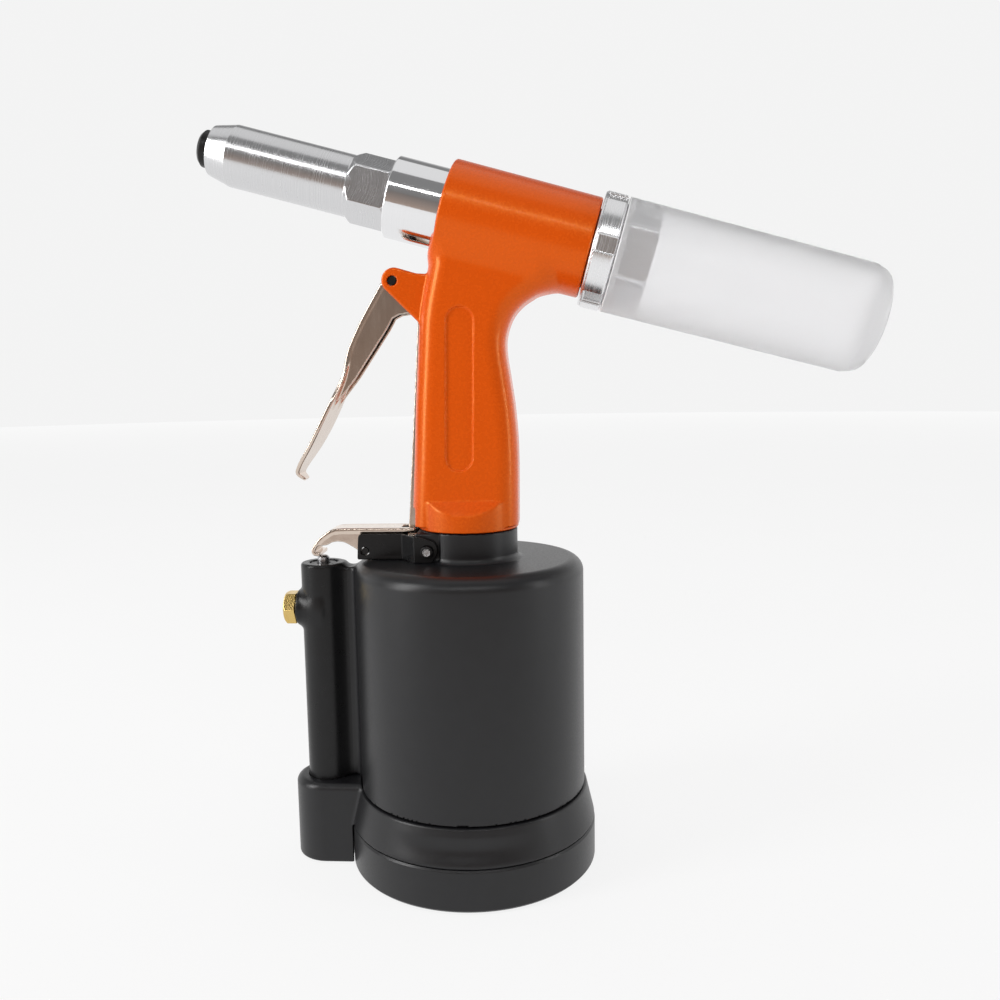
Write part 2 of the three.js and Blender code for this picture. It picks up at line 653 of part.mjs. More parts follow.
// The valve column beside the cylinder, joined to it by a web, with the inlet boss in front.
function valveColumn() {
  const column = rod(COLUMN_R, COLUMN_BOTTOM, COLUMN_TOP, MEDIUM).translate(VALVE_X, 0, 0);
  const web = box([VALVE_X, -4.5, BOSS_TOP + GAP], [-CYLINDER_BORE_R - 1, 4.5, 119]);
  const front = INLET_HEX_REAR + GAP;
  const boss = turnedX([
    [0, front], [6.7, front], [7.1, front + 0.7], [7.6, front + 3], [8.4, front + 7], [0, front + 11],
  ], SMALL).translate(0, 0, INLET_Z);
  return [column, web, boss];
}

function airCylinder() {
  const half = EAR_HALF - SHEET - GAP;
  const neckBlock = box([-19.6, -half, CYLINDER_TOP - 3], [-8, half, NECK_TOP - 0.6]);
  const flatten = [-1, 1].map((side) =>
    box([-25, half, CYLINDER_TOP], [-9.5, half + 10, NECK_TOP + 1]).scale(1, side, 1));
  const columnClear = rod(COLUMN_R + 4, COLUMN_BOTTOM - 1, BOSS_TOP + GAP, MEDIUM).translate(VALVE_X, 0, 0);
  const shell = cut(join(cylinderShell(), neckBlock), ...flatten);
  const columns = cut(join(...valveColumn()), cut(columnClear, rod(COLUMN_R - 0.3, COLUMN_BOTTOM - 2, 40)
    .translate(VALVE_X, 0, 0)));
  const bores = [
    rod(NECK_BORE_R, CYLINDER_ROOF - 1, NECK_TOP + 1),
    rod(VALVE_BORE_R, COLUMN_BOTTOM - 1, COLUMN_TOP + 1, SMALL).translate(VALVE_X, 0, 0),
    rodX(5.5, -72, INLET_END + GAP, SMALL).translate(0, 0, INLET_Z),
    rodX(2, INLET_END - 1, VALVE_X, TINY).translate(0, 0, INLET_Z),
    crossRod(2.0, -20, 20, { x: -14.6, z: 127.1 }),
    rodX(2.5, -55, -35, TINY).translate(0, 0, 40),
  ];
  return cut(join(shell, columns), ...bores);
}

// ---------------------------------------------------------------- base

// Plan of the valve boss: a round end and straight walls that run into the collar.
function bossPlan(radius) {
  const plan = new THREE.Shape();
  plan.moveTo(-36, radius);
  plan.lineTo(VALVE_X, radius);
  plan.absarc(VALVE_X, 0, radius, Math.PI / 2, 3 * Math.PI / 2, false);
  plan.lineTo(-36, -radius);
  return plan;
}

function valveBoss() {
  const layers = [[0.9, BOSS_BOTTOM, BOSS_BOTTOM + 0.9], [0, BOSS_BOTTOM + 0.9, BOSS_TOP - 3],
    [0.8, BOSS_TOP - 3, BOSS_TOP - 1.6], [2.2, BOSS_TOP - 1.6, BOSS_TOP]];
  return join(...layers.map(([inset, low, high]) => slab(bossPlan(BOSS_R - inset), low, high)));
}

function cylinderCollar() {
  const ring = turned([
    [COLLAR_BORE_R, STEP_Z + GAP], [FOOT_R - 0.2, STEP_Z + GAP], [SEAM_R, SEAM_Z],
    [CYLINDER_BORE_R - 0.4, SEAM_Z],
    [CYLINDER_BORE_R - 0.4, 36.4], [COLLAR_BORE_R, 36.4], [COLLAR_BORE_R, STEP_Z + GAP],
  ], FINE);
  const boss = cut(valveBoss(),
    rod(CYLINDER_R + 0.3, SEAM_Z, 60, FINE),
    rod(COLLAR_BORE_R + 1, 0, 60, FINE),
    rod(FOOT_R + GAP, 0, STEP_Z + GAP, FINE));
  const pocket = rod(COLUMN_R, COLUMN_BOTTOM - GAP, 60).translate(VALVE_X, 0, 0);
  const muffler = rod(6, 0, 10, SMALL).translate(VALVE_X, 0, 0);
  const passage = rod(2.2, 5, 25, TINY).translate(VALVE_X, 0, 0);
  const port = rodX(2.2, VALVE_X, -35, TINY).translate(0, 0, 23.5);
  return cut(join(ring, boss), pocket, muffler, passage, port);
}

function bottomCover() {
  return turned([
    [0, 2.6], [44.6, 2.6], [44.6, 0.3], [FOOT_R - 0.9, 0.3], [FOOT_R, 1.3], [FOOT_R, STEP_Z - 0.5],
    [FOOT_R - 0.5, STEP_Z], [COLLAR_BORE_R - GAP, STEP_Z], [COLLAR_BORE_R - GAP, 27],
    [34, 27], [34, 8], [0, 8],
  ], FINE);
}

const footPad = () => turned([[0, 0], [43.4, 0], [44.2, 0.8], [44.2, 2.3], [0, 2.3]], FINE);

// ---------------------------------------------------------------- air piston and ram

const PISTON_LOW = 38;
const PISTON_HIGH = 49;

function airPiston() {
  return turned([
    [5.3, PISTON_LOW], [40, PISTON_LOW], [41.1, PISTON_LOW + 1], [41.1, 41.4], [38.4, 41.4], [38.4, 45.4],
    [41.1, 45.4], [41.1, PISTON_HIGH - 1], [40, PISTON_HIGH], [5.3, PISTON_HIGH], [5.3, PISTON_LOW],
  ], FINE);
}

const ram = () => turned([
  [0, 30.5], [5, 30.5], [5, PISTON_HIGH + GAP], [RAM_R, PISTON_HIGH + GAP],
  [RAM_R, RAM_TOP - 1], [RAM_R - 1, RAM_TOP], [0, RAM_TOP],
], SMALL);

function pistonNut() {
  const hexagon = new THREE.CylinderGeometry(9.2, 9.2, 5, 6).rotateX(Math.PI / 2).translate(0, 0, 33.6);
  return cut(hexagon, rod(5.3, 30, 40, SMALL));
}

const ramGland = () => turned([
  [7.3, 110.6], [12.8, 110.6], [12.8, 115.6], [10.2, 115.6], [10.2, 121.6], [7.3, 121.6], [7.3, 110.6],
], SMALL);

// ---------------------------------------------------------------- valve parts

const atValve = (geometry) => geometry.translate(VALVE_X, 0, 0);

const valveStem = () => atValve(turned([
  [0, 58], [4.9, 58], [4.9, 61], [3.4, 61], [3.4, 64], [4.9, 64], [4.9, 67], [STEM_R, 70],
  [STEM_R, STEM_TOP - 0.8], [STEM_R - 0.8, STEM_TOP], [0, STEM_TOP],
], SMALL));

const valveBush = () => atValve(turned([
  [STEM_R + GAP, 110], [5.2, 110], [5.2, COLUMN_TOP - 0.4], [STEM_R + GAP, COLUMN_TOP - 0.4],
  [STEM_R + GAP, 110],
], SMALL));

const springSeat = () => atValve(tube(5.2, 2.2, 26, 31, SMALL));

// The brass inlet: a hexagon with a round collar and an open bore for the air line.
function inletFitting() {
  const length = INLET_HEX_REAR - INLET_FACE;
  const hexagon = new THREE.CylinderGeometry(INLET_HEX_R, INLET_HEX_R, length, 6)
    .rotateX(Math.PI / 2).rotateY(Math.PI / 2).translate(INLET_FACE + length / 2, 0, 0);
  const chamfer = turnedX([
    [0, INLET_FACE], [5.9, INLET_FACE], [INLET_HEX_R, INLET_FACE + 1], [INLET_HEX_R, INLET_HEX_REAR],
    [0, INLET_HEX_REAR],
  ], SMALL);
  const threaded = rodX(5.2, INLET_HEX_REAR - 1, INLET_END, SMALL);
  const bore = rodX(INLET_BORE_R, INLET_FACE - 1, INLET_END - 1.2, SMALL);
  const passage = rodX(2, INLET_FACE - 1, -60, SMALL);
  return cut(join(common(hexagon, chamfer), threaded), bore, passage).translate(0, 0, INLET_Z);
}

// ---------------------------------------------------------------- assembly

piece('body', 'orange', body());

piece('head_sleeve', 'chrome', headSleeve(), barrel);
piece('nose_housing', 'steel', noseHousing(), barrel);
piece('nose_tip', 'tip', noseTip(), barrel);

piece('jaw_case', 'steel', jawCase(), barrel);
for (const index of [0, 1, 2]) piece(`jaw_${index + 1}`, 'steel', jaw(index), barrel);
piece('jaw_pusher', 'steel', jawPusher(), barrel);
piece('pusher_spring', 'spring', coil(4.6, 0.55, -58.3, -46.8, 5).rotateY(Math.PI / 2), barrel);
piece('pull_piston', 'steel', pullPiston(), barrel);
piece('pull_piston_seal', 'rubber', tubeX(13.8, 11.5, 10.3, 13.3), barrel);
piece('return_spring', 'spring', coil(10.6, 1.2, 17.3, 46.5, 5).rotateY(Math.PI / 2), barrel);

piece('rear_cap', 'aluminium', rearCap(), barrel);
piece('guide_tube', 'steel', tubeX(GUIDE_R, 2.3, -2, 78, SMALL), barrel);
piece('bottle', 'frosted', bottle(), barrel);

piece('trigger', 'nickel', trigger());
piece('trigger_pin', 'black', triggerPin());
piece('link_pin', 'steel', linkPin());
piece('pull_rod', 'nickel', pullRod());
piece('rocker_lever', 'nickel', rockerLever());
piece('lever_pin', 'black', leverPin());
piece('lever_bracket', 'black', leverBracket());
piece('bracket_screw_near', 'black', bracketScrew(-1));
piece('bracket_screw_far', 'black', bracketScrew(1));
piece('oil_fill_screw', 'steel',
  crossRod(2.9, HANDLE_HALF - 5.6, HANDLE_HALF + 0.8, { x: 4, z: 228 }, SMALL));

piece('air_cylinder', 'black', airCylinder());
piece('cylinder_collar', 'black', cylinderCollar());
piece('bottom_cover', 'black', bottomCover());
piece('foot_pad', 'rubber', footPad());

piece('air_piston', 'aluminium', airPiston());
piece('air_piston_seal', 'rubber', tube(41.3, 38.7, 41.7, 45.1, FINE));
piece('piston_nut', 'steel', pistonNut());
piece('ram', 'steel', ram());
piece('ram_gland', 'brass', ramGland());
piece('ram_seal', 'rubber', tube(10.2, 7.3, 121.9, 126.1, SMALL));

piece('valve_stem', 'steel', valveStem());
piece('valve_bush', 'black', valveBush());
piece('valve_seal', 'rubber', atValve(tube(5.2, 3.7, 61.3, 63.7, SMALL)));
piece('valve_spring', 'spring', atValve(coil(3.6, 0.6, 31.3, 57.7, 8)));
piece('valve_spring_seat', 'steel', springSeat());
piece('inlet_fitting', 'brass', inletFitting());
piece('exhaust_muffler', 'bronze', atValve(rod(5.7, 1.9, 9.4, SMALL)));

export default gun;
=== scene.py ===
import math

import bpy
import numpy as np
from mathutils import Matrix, Vector


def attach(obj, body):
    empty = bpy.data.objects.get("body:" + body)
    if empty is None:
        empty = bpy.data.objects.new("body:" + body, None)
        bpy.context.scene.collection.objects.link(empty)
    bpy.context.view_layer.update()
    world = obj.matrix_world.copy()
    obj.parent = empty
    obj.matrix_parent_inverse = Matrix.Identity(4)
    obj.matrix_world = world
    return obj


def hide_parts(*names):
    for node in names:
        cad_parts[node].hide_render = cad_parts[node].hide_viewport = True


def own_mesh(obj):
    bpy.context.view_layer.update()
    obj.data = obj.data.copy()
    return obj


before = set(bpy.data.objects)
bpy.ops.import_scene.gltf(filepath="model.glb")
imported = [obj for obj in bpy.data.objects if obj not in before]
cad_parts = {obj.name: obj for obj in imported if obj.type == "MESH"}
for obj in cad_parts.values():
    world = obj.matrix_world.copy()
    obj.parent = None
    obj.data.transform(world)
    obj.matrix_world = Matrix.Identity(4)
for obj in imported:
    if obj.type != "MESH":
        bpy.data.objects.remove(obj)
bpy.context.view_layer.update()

MM = 0.001

# ---------------------------------------------------------------- dimensions, in millimetres

TILT = math.radians(15.6)
BARREL_Z = 253.8
BARREL = Matrix.Translation((0, 0, BARREL_Z * MM)) @ Matrix.Rotation(TILT, 4, "Y")
UPRIGHT = Matrix.Identity(4)
VALVE_X = -58.7
VALVE = Matrix.Translation((VALVE_X * MM, 0, 0))
PIVOT = (-26.3, 229.3)
LEVER_PIVOT = (-40.1, 126.1)
ROD_FOOT = (-22.19, 130)
ROD_TOP = (-15.45, 226.2)
SCREW_AT = (-14.6, 127.1)
SOCKET_GLINT_R = 1.45          # round each bracket screw's socket the black head takes bright steel, a painted glint
INLET_Z = 102
COLUMN_EDGE = -48.6      # the valve column and its web lie in front of this x
BOTTLE_RIM = 62.2        # the bottle's thick mouth ends here, along the barrel
LEVER_TOP = 134.9

# ---------------------------------------------------------------- camera

CAMERA_FOCAL = 947.27                     # in units of a thousandth of the picture's width
CAMERA_DISTANCE, CAMERA_HEIGHT, CAMERA_ASIDE = 369.95, 191.45, 12.503
CAMERA_TURN = (-3.865, 7.191, -0.9228)    # yaw, pitch and roll, in degrees


def make_camera():
    yaw, pitch, roll = (math.radians(a) for a in CAMERA_TURN)
    ahead = Vector((math.sin(yaw) * math.cos(pitch), math.cos(yaw) * math.cos(pitch), -math.sin(pitch)))
    level = Vector((math.cos(yaw), -math.sin(yaw), 0))
    over = level.cross(ahead)
    right = math.cos(roll) * level + math.sin(roll) * over
    up = math.cos(roll) * over - math.sin(roll) * level
    behind = Vector((math.sin(yaw), math.cos(yaw), 0)) * CAMERA_DISTANCE
    place = level * CAMERA_ASIDE - behind + Vector((0, 0, CAMERA_HEIGHT))
    data = bpy.data.cameras.new("camera")
    data.sensor_width, data.lens = 36, CAMERA_FOCAL * 36 / 1000
    data.clip_start, data.clip_end = 0.01, 50
    camera = bpy.data.objects.new("camera", data)
    bpy.context.scene.collection.objects.link(camera)
    turn = Matrix((right, up, -ahead)).transposed().to_4x4()
    camera.matrix_world = Matrix.Translation(place * MM) @ turn
    bpy.context.scene.camera = camera


# ---------------------------------------------------------------- node materials


class Nodes:
    """Builds one material: noises in the object's own coordinates drive its colour, roughness and bump."""

    def __init__(self, name, **sockets):
        self.material = bpy.data.materials.new(name)
        self.material.use_nodes = True
        self.tree = self.material.node_tree
        self.shader = self.tree.nodes["Principled BSDF"]
        for key, value in sockets.items():
            self.shader.inputs[key.replace("_", " ")].default_value = value
        self.place = self.add("ShaderNodeTexCoord").outputs["Object"]
        self.height = None

    def add(self, kind, **values):
        node = self.tree.nodes.new(kind)
        for key, value in values.items():
            setattr(node, key, value)
        return node

    def put(self, node, name, value):
        if isinstance(value, bpy.types.NodeSocket):
            self.tree.links.new(value, node.inputs[name])
        else:
            node.inputs[name].default_value = value

    def maths(self, operation, *values):
        node = self.add("ShaderNodeMath", operation=operation)
        for i, value in enumerate(values):
            self.put(node, i, value)
        return node.outputs[0]

    def noise(self, scale, detail=2.0, stretch=(1, 1, 1), rough=0.5):
        node = self.add("ShaderNodeTexNoise")
        where = self.add("ShaderNodeMapping")
        self.put(where, "Vector", self.place)
        where.inputs["Scale"].default_value = stretch
        self.put(node, "Vector", where.outputs[0])
        node.inputs["Scale"].default_value = scale
        node.inputs["Detail"].default_value = detail
        node.inputs["Roughness"].default_value = rough
        return node.outputs["Fac"]

    def turning(self, axis, scale, detail=3.0):
        """Fine rings round an axis: they change along it, and with the radius on an end face."""
        parts = self.add("ShaderNodeSeparateXYZ")
        self.put(parts, 0, self.place)
        along, others = parts.outputs[axis], [parts.outputs[k] for k in "XYZ" if k != axis]
        squares = [self.maths("MULTIPLY", o, o) for o in others]
        radius = self.maths("SQRT", self.maths("ADD", *squares))
        node = self.add("ShaderNodeTexNoise", noise_dimensions="1D")
        self.put(node, "W", self.maths("ADD", along, self.maths("MULTIPLY", radius, 0.83)))
        node.inputs["Scale"].default_value = scale
        node.inputs["Detail"].default_value = detail
        return node.outputs["Fac"]

    def spread(self, source, low, high, start=0.3, end=0.7):
        node = self.add("ShaderNodeMapRange")
        self.put(node, "Value", source)
        for key, value in (("From Min", start), ("From Max", end), ("To Min", low), ("To Max", high)):
            node.inputs[key].default_value = value
        return node.outputs[0]

    def blend(self, share, first, second):
        node = self.add("ShaderNodeMix", data_type="RGBA")
        self.put(node, 0, share)
        for slot, colour in ((6, first), (7, second)):
            if isinstance(colour, bpy.types.NodeSocket):
                self.put(node, slot, colour)
            else:
                node.inputs[slot].default_value = (*colour, 1)
        return node.outputs[2]

    def colour(self, value):
        self.put(self.shader, "Base Color", value)

    def roughness(self, value):
        self.put(self.shader, "Roughness", value)

    def bump(self, source, distance, strength=1.0):
        node = self.add("ShaderNodeBump")
        node.inputs["Distance"].default_value = distance
        node.inputs["Strength"].default_value = strength
        self.put(node, "Height", source)
        if self.height is not None:
            self.put(node, "Normal", self.height)
        self.height = node.outputs[0]
        self.put(self.shader, "Normal", self.height)


def orange_paint():
    """Gloss enamel over a casting: orange peel, and the casting's slow waviness beneath it."""
    m = Nodes("orange_enamel", Specular_IOR_Level=0.75, Specular_Tint=(1.0, 0.62, 0.16, 1.0),
              Coat_Weight=0.04)
    m.colour(m.blend(m.noise(90, 4), (0.71, 0.081, 0.002), (0.74, 0.086, 0.0025)))
    m.roughness(m.spread(m.noise(700, 2), 0.24, 0.3))
    m.bump(m.noise(420, 1.5), 0.00003, 0.05)
    m.bump(m.noise(60, 2), 0.0003, 0.08)
    return m.material


def black_paint():
    """Satin powder coat with its fine leathery grain."""
    m = Nodes("black_powder_coat", Specular_IOR_Level=0.42)
    m.colour(m.blend(m.noise(160, 4), (0.007, 0.007, 0.008), (0.011, 0.011, 0.0125)))
    m.roughness(m.spread(m.noise(1500, 2), 0.32, 0.4))
    m.bump(m.noise(2200, 2), 0.00004, 0.3)
    return m.material


def column_paint():
    """A smoother, glossier coat, for the valve column and the lever's bracket."""
    m = Nodes("black_smooth_coat", Specular_IOR_Level=0.3)
    m.colour(m.blend(m.noise(120, 3), (0.005, 0.005, 0.0055), (0.009, 0.009, 0.0095)))
    m.roughness(m.spread(m.noise(300, 2), 0.27, 0.33))
    m.bump(m.noise(900, 2), 0.00002, 0.08)
    return m.material


def turned_metal(name, first, second, rough, axis="X", scale=2600, depth=0.000004):
    """Metal from a lathe: tool marks run round the axis, crossed by faint handling haze."""
    m = Nodes(name, Metallic=1.0)
    marks = m.turning(axis, scale)
    m.colour(m.blend(marks, first, second))
    haze = m.noise(220, 4)
    m.roughness(m.maths("ADD", m.spread(marks, rough[0], rough[1]), m.spread(haze, 0.0, 0.04)))
    m.bump(marks, depth, 0.15)
    return m.material


def plated_sheet(name, first, second, rough):
    """Nickel plate over pressed sheet: slow waves from the press, and fine polishing scratches."""
    m = Nodes(name, Metallic=1.0)
    m.colour(m.blend(m.noise(60, 3), first, second))
    scratches = m.noise(900, 4, stretch=(1.0, 1.0, 0.12))
    m.roughness(m.spread(scratches, *rough))
    m.bump(m.noise(140, 2), 0.0002, 0.25)
    m.bump(scratches, 0.000008, 0.4)
    return m.material


def blackened_steel():
    """Oil-blackened steel, for pins, screws and the nosepiece."""
    m = Nodes("blackened_steel", Metallic=0.7)
    m.colour(m.blend(m.noise(400, 4), (0.012, 0.012, 0.013), (0.03, 0.029, 0.028)))
    m.roughness(m.spread(m.noise(900, 3), 0.28, 0.42))
    m.bump(m.noise(1800, 2), 0.00003, 0.3)
    return m.material


def machined_brass():
    """Brass bar with the marks of the lathe."""
    m = Nodes("machined_brass", Metallic=1.0)
    marks = m.turning("X", 1800)
    m.colour(m.blend(m.noise(260, 4), (0.62, 0.42, 0.13), (0.74, 0.54, 0.21)))
    m.roughness(m.spread(marks, 0.18, 0.34))
    m.bump(marks, 0.00002, 0.5)
    return m.material


def frosted_plastic(name, through, rough):
    """Blown translucent plastic: hazy inside and out, with a faint flow grain."""
    m = Nodes(name, Transmission_Weight=through, IOR=1.28, Specular_IOR_Level=0.5)
    m.colour(m.blend(m.noise(45, 3, stretch=(0.3, 1, 1)), (0.975, 0.975, 0.985), (0.99, 0.99, 0.995)))
    m.roughness(m.spread(m.noise(600, 3), *rough))
    m.bump(m.noise(1500, 2), 0.00002, 0.1)
    return m.material


def rubber():
    """Moulded black rubber with a dull, slightly dusty skin."""
    m = Nodes("rubber")
    m.colour(m.blend(m.noise(500, 4), (0.012, 0.012, 0.012), (0.028, 0.027, 0.026)))
    m.roughness(m.spread(m.noise(1200, 3), 0.6, 0.85))
    m.bump(m.noise(1600, 4), 0.00008, 0.6)
    return m.material


def sintered_bronze():
    """Bronze grains pressed together."""
    m = Nodes("sintered_bronze", Metallic=0.9)
    grains = m.add("ShaderNodeTexVoronoi")
    m.put(grains, "Vector", m.place)
    grains.inputs["Scale"].default_value = 1800
    m.colour(m.blend(m.noise(700, 3), (0.2, 0.11, 0.04), (0.42, 0.27, 0.12)))
    m.roughness(m.spread(grains.outputs["Distance"], 0.45, 0.8))
    m.bump(grains.outputs["Distance"], 0.0002, 0.9)
    return m.material


FINISH = {
    "orange_paint": orange_paint(),
    "black_paint": black_paint(),
    "black_column": column_paint(),
    "chrome": turned_metal("polished_chrome", (0.80, 0.80, 0.81), (0.86, 0.86, 0.87), (0.05, 0.09),
                           depth=0.000002),
    "steel": turned_metal("turned_steel", (0.60, 0.60, 0.61), (0.74, 0.74, 0.75), (0.16, 0.26)),
    "steel_z": turned_metal("turned_steel_upright", (0.5, 0.5, 0.51), (0.66, 0.66, 0.67), (0.2, 0.32),
                            axis="Z"),
    "steel_y": turned_metal("turned_steel_across", (0.5, 0.5, 0.51), (0.66, 0.66, 0.67), (0.2, 0.32),
                            axis="Y"),
    "nickel": plated_sheet("nickel_plate", (0.60, 0.49, 0.41), (0.70, 0.60, 0.52), (0.14, 0.24)),
    "aluminium": turned_metal("machined_aluminium", (0.74, 0.74, 0.75), (0.88, 0.88, 0.89), (0.16, 0.28),
                              scale=1900, depth=0.000004),
    "black_steel": blackened_steel(),
    "brass": machined_brass(),
    "frosted_plastic": frosted_plastic("frosted_plastic", 0.84, (0.3, 0.4)),
    "frosted_rim": frosted_plastic("frosted_thick_rim", 0.25, (0.3, 0.4)),
    "rubber": rubber(),
    "sintered": sintered_bronze(),
}

# ---------------------------------------------------------------- outlines


def soften(points, radius, steps=5, loop=True):
    """Replaces each corner of an outline by an arc. Gives its points and outward normals, turning left."""
    p = [np.array(q[:2], float) for q in points]
    own = [q[2] if len(q) > 2 else radius for q in points]
    area = sum(a[0] * b[1] - b[0] * a[1] for a, b in zip(p, p[1:] + p[:1]))
    if area < 0:
        p, own = p[::-1], own[::-1]
    out, normals = [], []
    for i, corner in enumerate(p):
        before, after = p[i - 1], p[(i + 1) % len(p)]
        d0, d1 = corner - before, after - corner
        l0, l1 = np.hypot(*d0), np.hypot(*d1)
        d0, d1 = d0 / l0, d1 / l1
        n0, n1 = np.array((d0[1], -d0[0])), np.array((d1[1], -d1[0]))
        if not loop and i in (0, len(p) - 1):
            out.append(corner)
            normals.append(n1 if i == 0 else n0)
            continue
        turn = math.atan2(d0[0] * d1[1] - d0[1] * d1[0], float(d0 @ d1))
        if abs(turn) < 0.02:
            out.append(corner)
            normals.append((n0 + n1) / np.hypot(*(n0 + n1)))
            continue
        reach = min(own[i] * math.tan(abs(turn) / 2), 0.45 * l0, 0.45 * l1)
        r, side = reach / math.tan(abs(turn) / 2), math.copysign(1, turn)
        centre = corner - d0 * reach - side * n0 * r
        for k in range(steps + 1):
            a = turn * k / steps
            c, s = math.cos(a), math.sin(a)
            n = np.array((n0[0] * c - n0[1] * s, n0[0] * s + n0[1] * c))
            out.append(centre + side * n * r)
            normals.append(n)
    return np.array(out), np.array(normals)


def spline(points, steps=8):
    """A smooth line through points."""
    p = [2 * np.array(points[0]) - points[1], *map(np.array, points), 2 * np.array(points[-1]) - points[-2]]
    out = []
    for a, b, c, d in zip(p, p[1:], p[2:], p[3:]):
        for t in np.arange(steps) / steps:
            out.append(0.5 * (2 * b + (c - a) * t + (2 * a - 5 * b + 4 * c - d) * t ** 2
                              + (3 * b - a - 3 * c + d) * t ** 3))
    return [tuple(q) for q in out] + [tuple(p[-2])]


def arc(centre, radius, start, end, steps=12):
    angles = np.linspace(start, end, steps + 1)
    return [(centre[0] + radius * math.cos(a), centre[1] + radius * math.sin(a)) for a in angles]


def band(line, thickness):
    """The outline of a bent sheet whose outer face is the line."""
    p = np.array(line)
    along = np.gradient(p, axis=0)
    along /= np.hypot(*along.T)[:, None]
    inner = p + thickness * np.stack((-along[:, 1], along[:, 0]), 1)
    return [tuple(q) for q in p] + [tuple(q) for q in inner[::-1]]


# ---------------------------------------------------------------- distance fields

BLOCK = 8
CORNERS = [np.array((i, j, k)) for i in (0, 1) for j in (0, 1) for k in (0, 1)]
EDGES = [(a, b) for a in CORNERS for b in CORNERS if (b >= a).all() and (b - a).sum() == 1]


def hyp(a, b):
    return np.sqrt(a * a + b * b)


def union(a, b, r):
    """Joins two solids with a fillet of radius r."""
    return np.maximum(r, np.minimum(a, b)) - hyp(np.maximum(r - a, 0), np.maximum(r - b, 0))


def common(a, b, r):
    """What two solids share, its edge rounded to radius r."""
    return np.minimum(-r, np.maximum(a, b)) + hyp(np.maximum(r + a, 0), np.maximum(r + b, 0))


def cut(a, b, r):
    return common(a, -b, r)


def within(x, low, high):
    return np.abs(x - (low + high) / 2) - (high - low) / 2


def box(x, y, z, low, high, r):
    spans = [within(v, a, b) for v, a, b in zip((x, y, z), low, high)]
    return common(common(spans[0], spans[1], r), spans[2], r)


def polygon(u, v, points):
    """Exact distance to a closed outline, negative inside."""
    far = np.full(u.shape, 1e9)
    inside = np.zeros(u.shape, bool)
    for (ax, ay), (bx, by) in zip(points, np.roll(points, -1, axis=0)):
        ex, ey = bx - ax, by - ay
        if ex * ex + ey * ey < 1e-12:
            continue
        px, py = u - ax, v - ay
        t = np.clip((px * ex + py * ey) / (ex * ex + ey * ey), 0, 1)
        far = np.minimum(far, (px - ex * t) ** 2 + (py - ey * t) ** 2)
        if ey != 0:
            inside ^= ((ay > v) != (by > v)) & (px < ex * py / ey)
    return np.where(inside, -1, 1) * np.sqrt(far)


def outline(points, spacing=0.4, reach=8):
    """A smooth distance to a closed outline: a cubic B-spline over a grid of exact distances."""
    points = np.array(points, float)
    low = points.min(0) - reach
    count = np.ceil((points.max(0) + reach - low) / spacing).astype(int) + 1
    u, v = np.meshgrid(*(low[k] + spacing * np.arange(count[k]) for k in (0, 1)), indexing="ij")
    grid = polygon(u, v, points)

    def weights(t):
        return ((1 - t) ** 3 / 6, (3 * t ** 3 - 6 * t * t + 4) / 6,
                (-3 * t ** 3 + 3 * t * t + 3 * t + 1) / 6, t ** 3 / 6)

    def look_up(x, z):
        s, t = (x - low[0]) / spacing, (z - low[1]) / spacing
        sc, tc = np.clip(s, 1, count[0] - 3.001), np.clip(t, 1, count[1] - 3.001)
        i, j = sc.astype(int), tc.astype(int)
        total = np.zeros(np.shape(x))
        for a, wa in enumerate(weights(sc - i)):
            for b, wb in enumerate(weights(tc - j)):
                total += wa * wb * grid[i + a - 1, j + b - 1]
        return total + spacing * hyp(s - sc, t - tc)

    return look_up


def along_barrel(x, z):
    """Barrel coordinates of a point: how far back, and how far up from the axis."""
    h = z - BARREL_Z
    return x * math.cos(TILT) - h * math.sin(TILT), x * math.sin(TILT) + h * math.cos(TILT)


def sample(field, low, high, step):
    """The field on a grid, worked out only near its surface."""
    blocks = [max(1, math.ceil((b - a) / (step * BLOCK))) for a, b in zip(low, high)]
    middles = [a + (np.arange(n) + 0.5) * BLOCK * step for a, n in zip(low, blocks)]
    rough = field(*(g.ravel() for g in np.meshgrid(*middles, indexing="ij"))).reshape(blocks)
    values = np.ones([n * BLOCK + 1 for n in blocks])
    side = np.where(rough < 0, -1.0, 1.0)
    values[:-1, :-1, :-1] = side.repeat(BLOCK, 0).repeat(BLOCK, 1).repeat(BLOCK, 2)
    near = np.argwhere(np.abs(rough) < 1.05 * BLOCK * step)
    local = np.stack(np.meshgrid(*[np.arange(BLOCK + 1)] * 3, indexing="ij"), -1).reshape(-1, 3)
    for chunk in np.array_split(near, len(near) // 600 + 1):
        index = (chunk[:, None] * BLOCK + local[None]).reshape(-1, 3)
        values[tuple(index.T)] = field(*(index * step + np.array(low)).T)
    return values


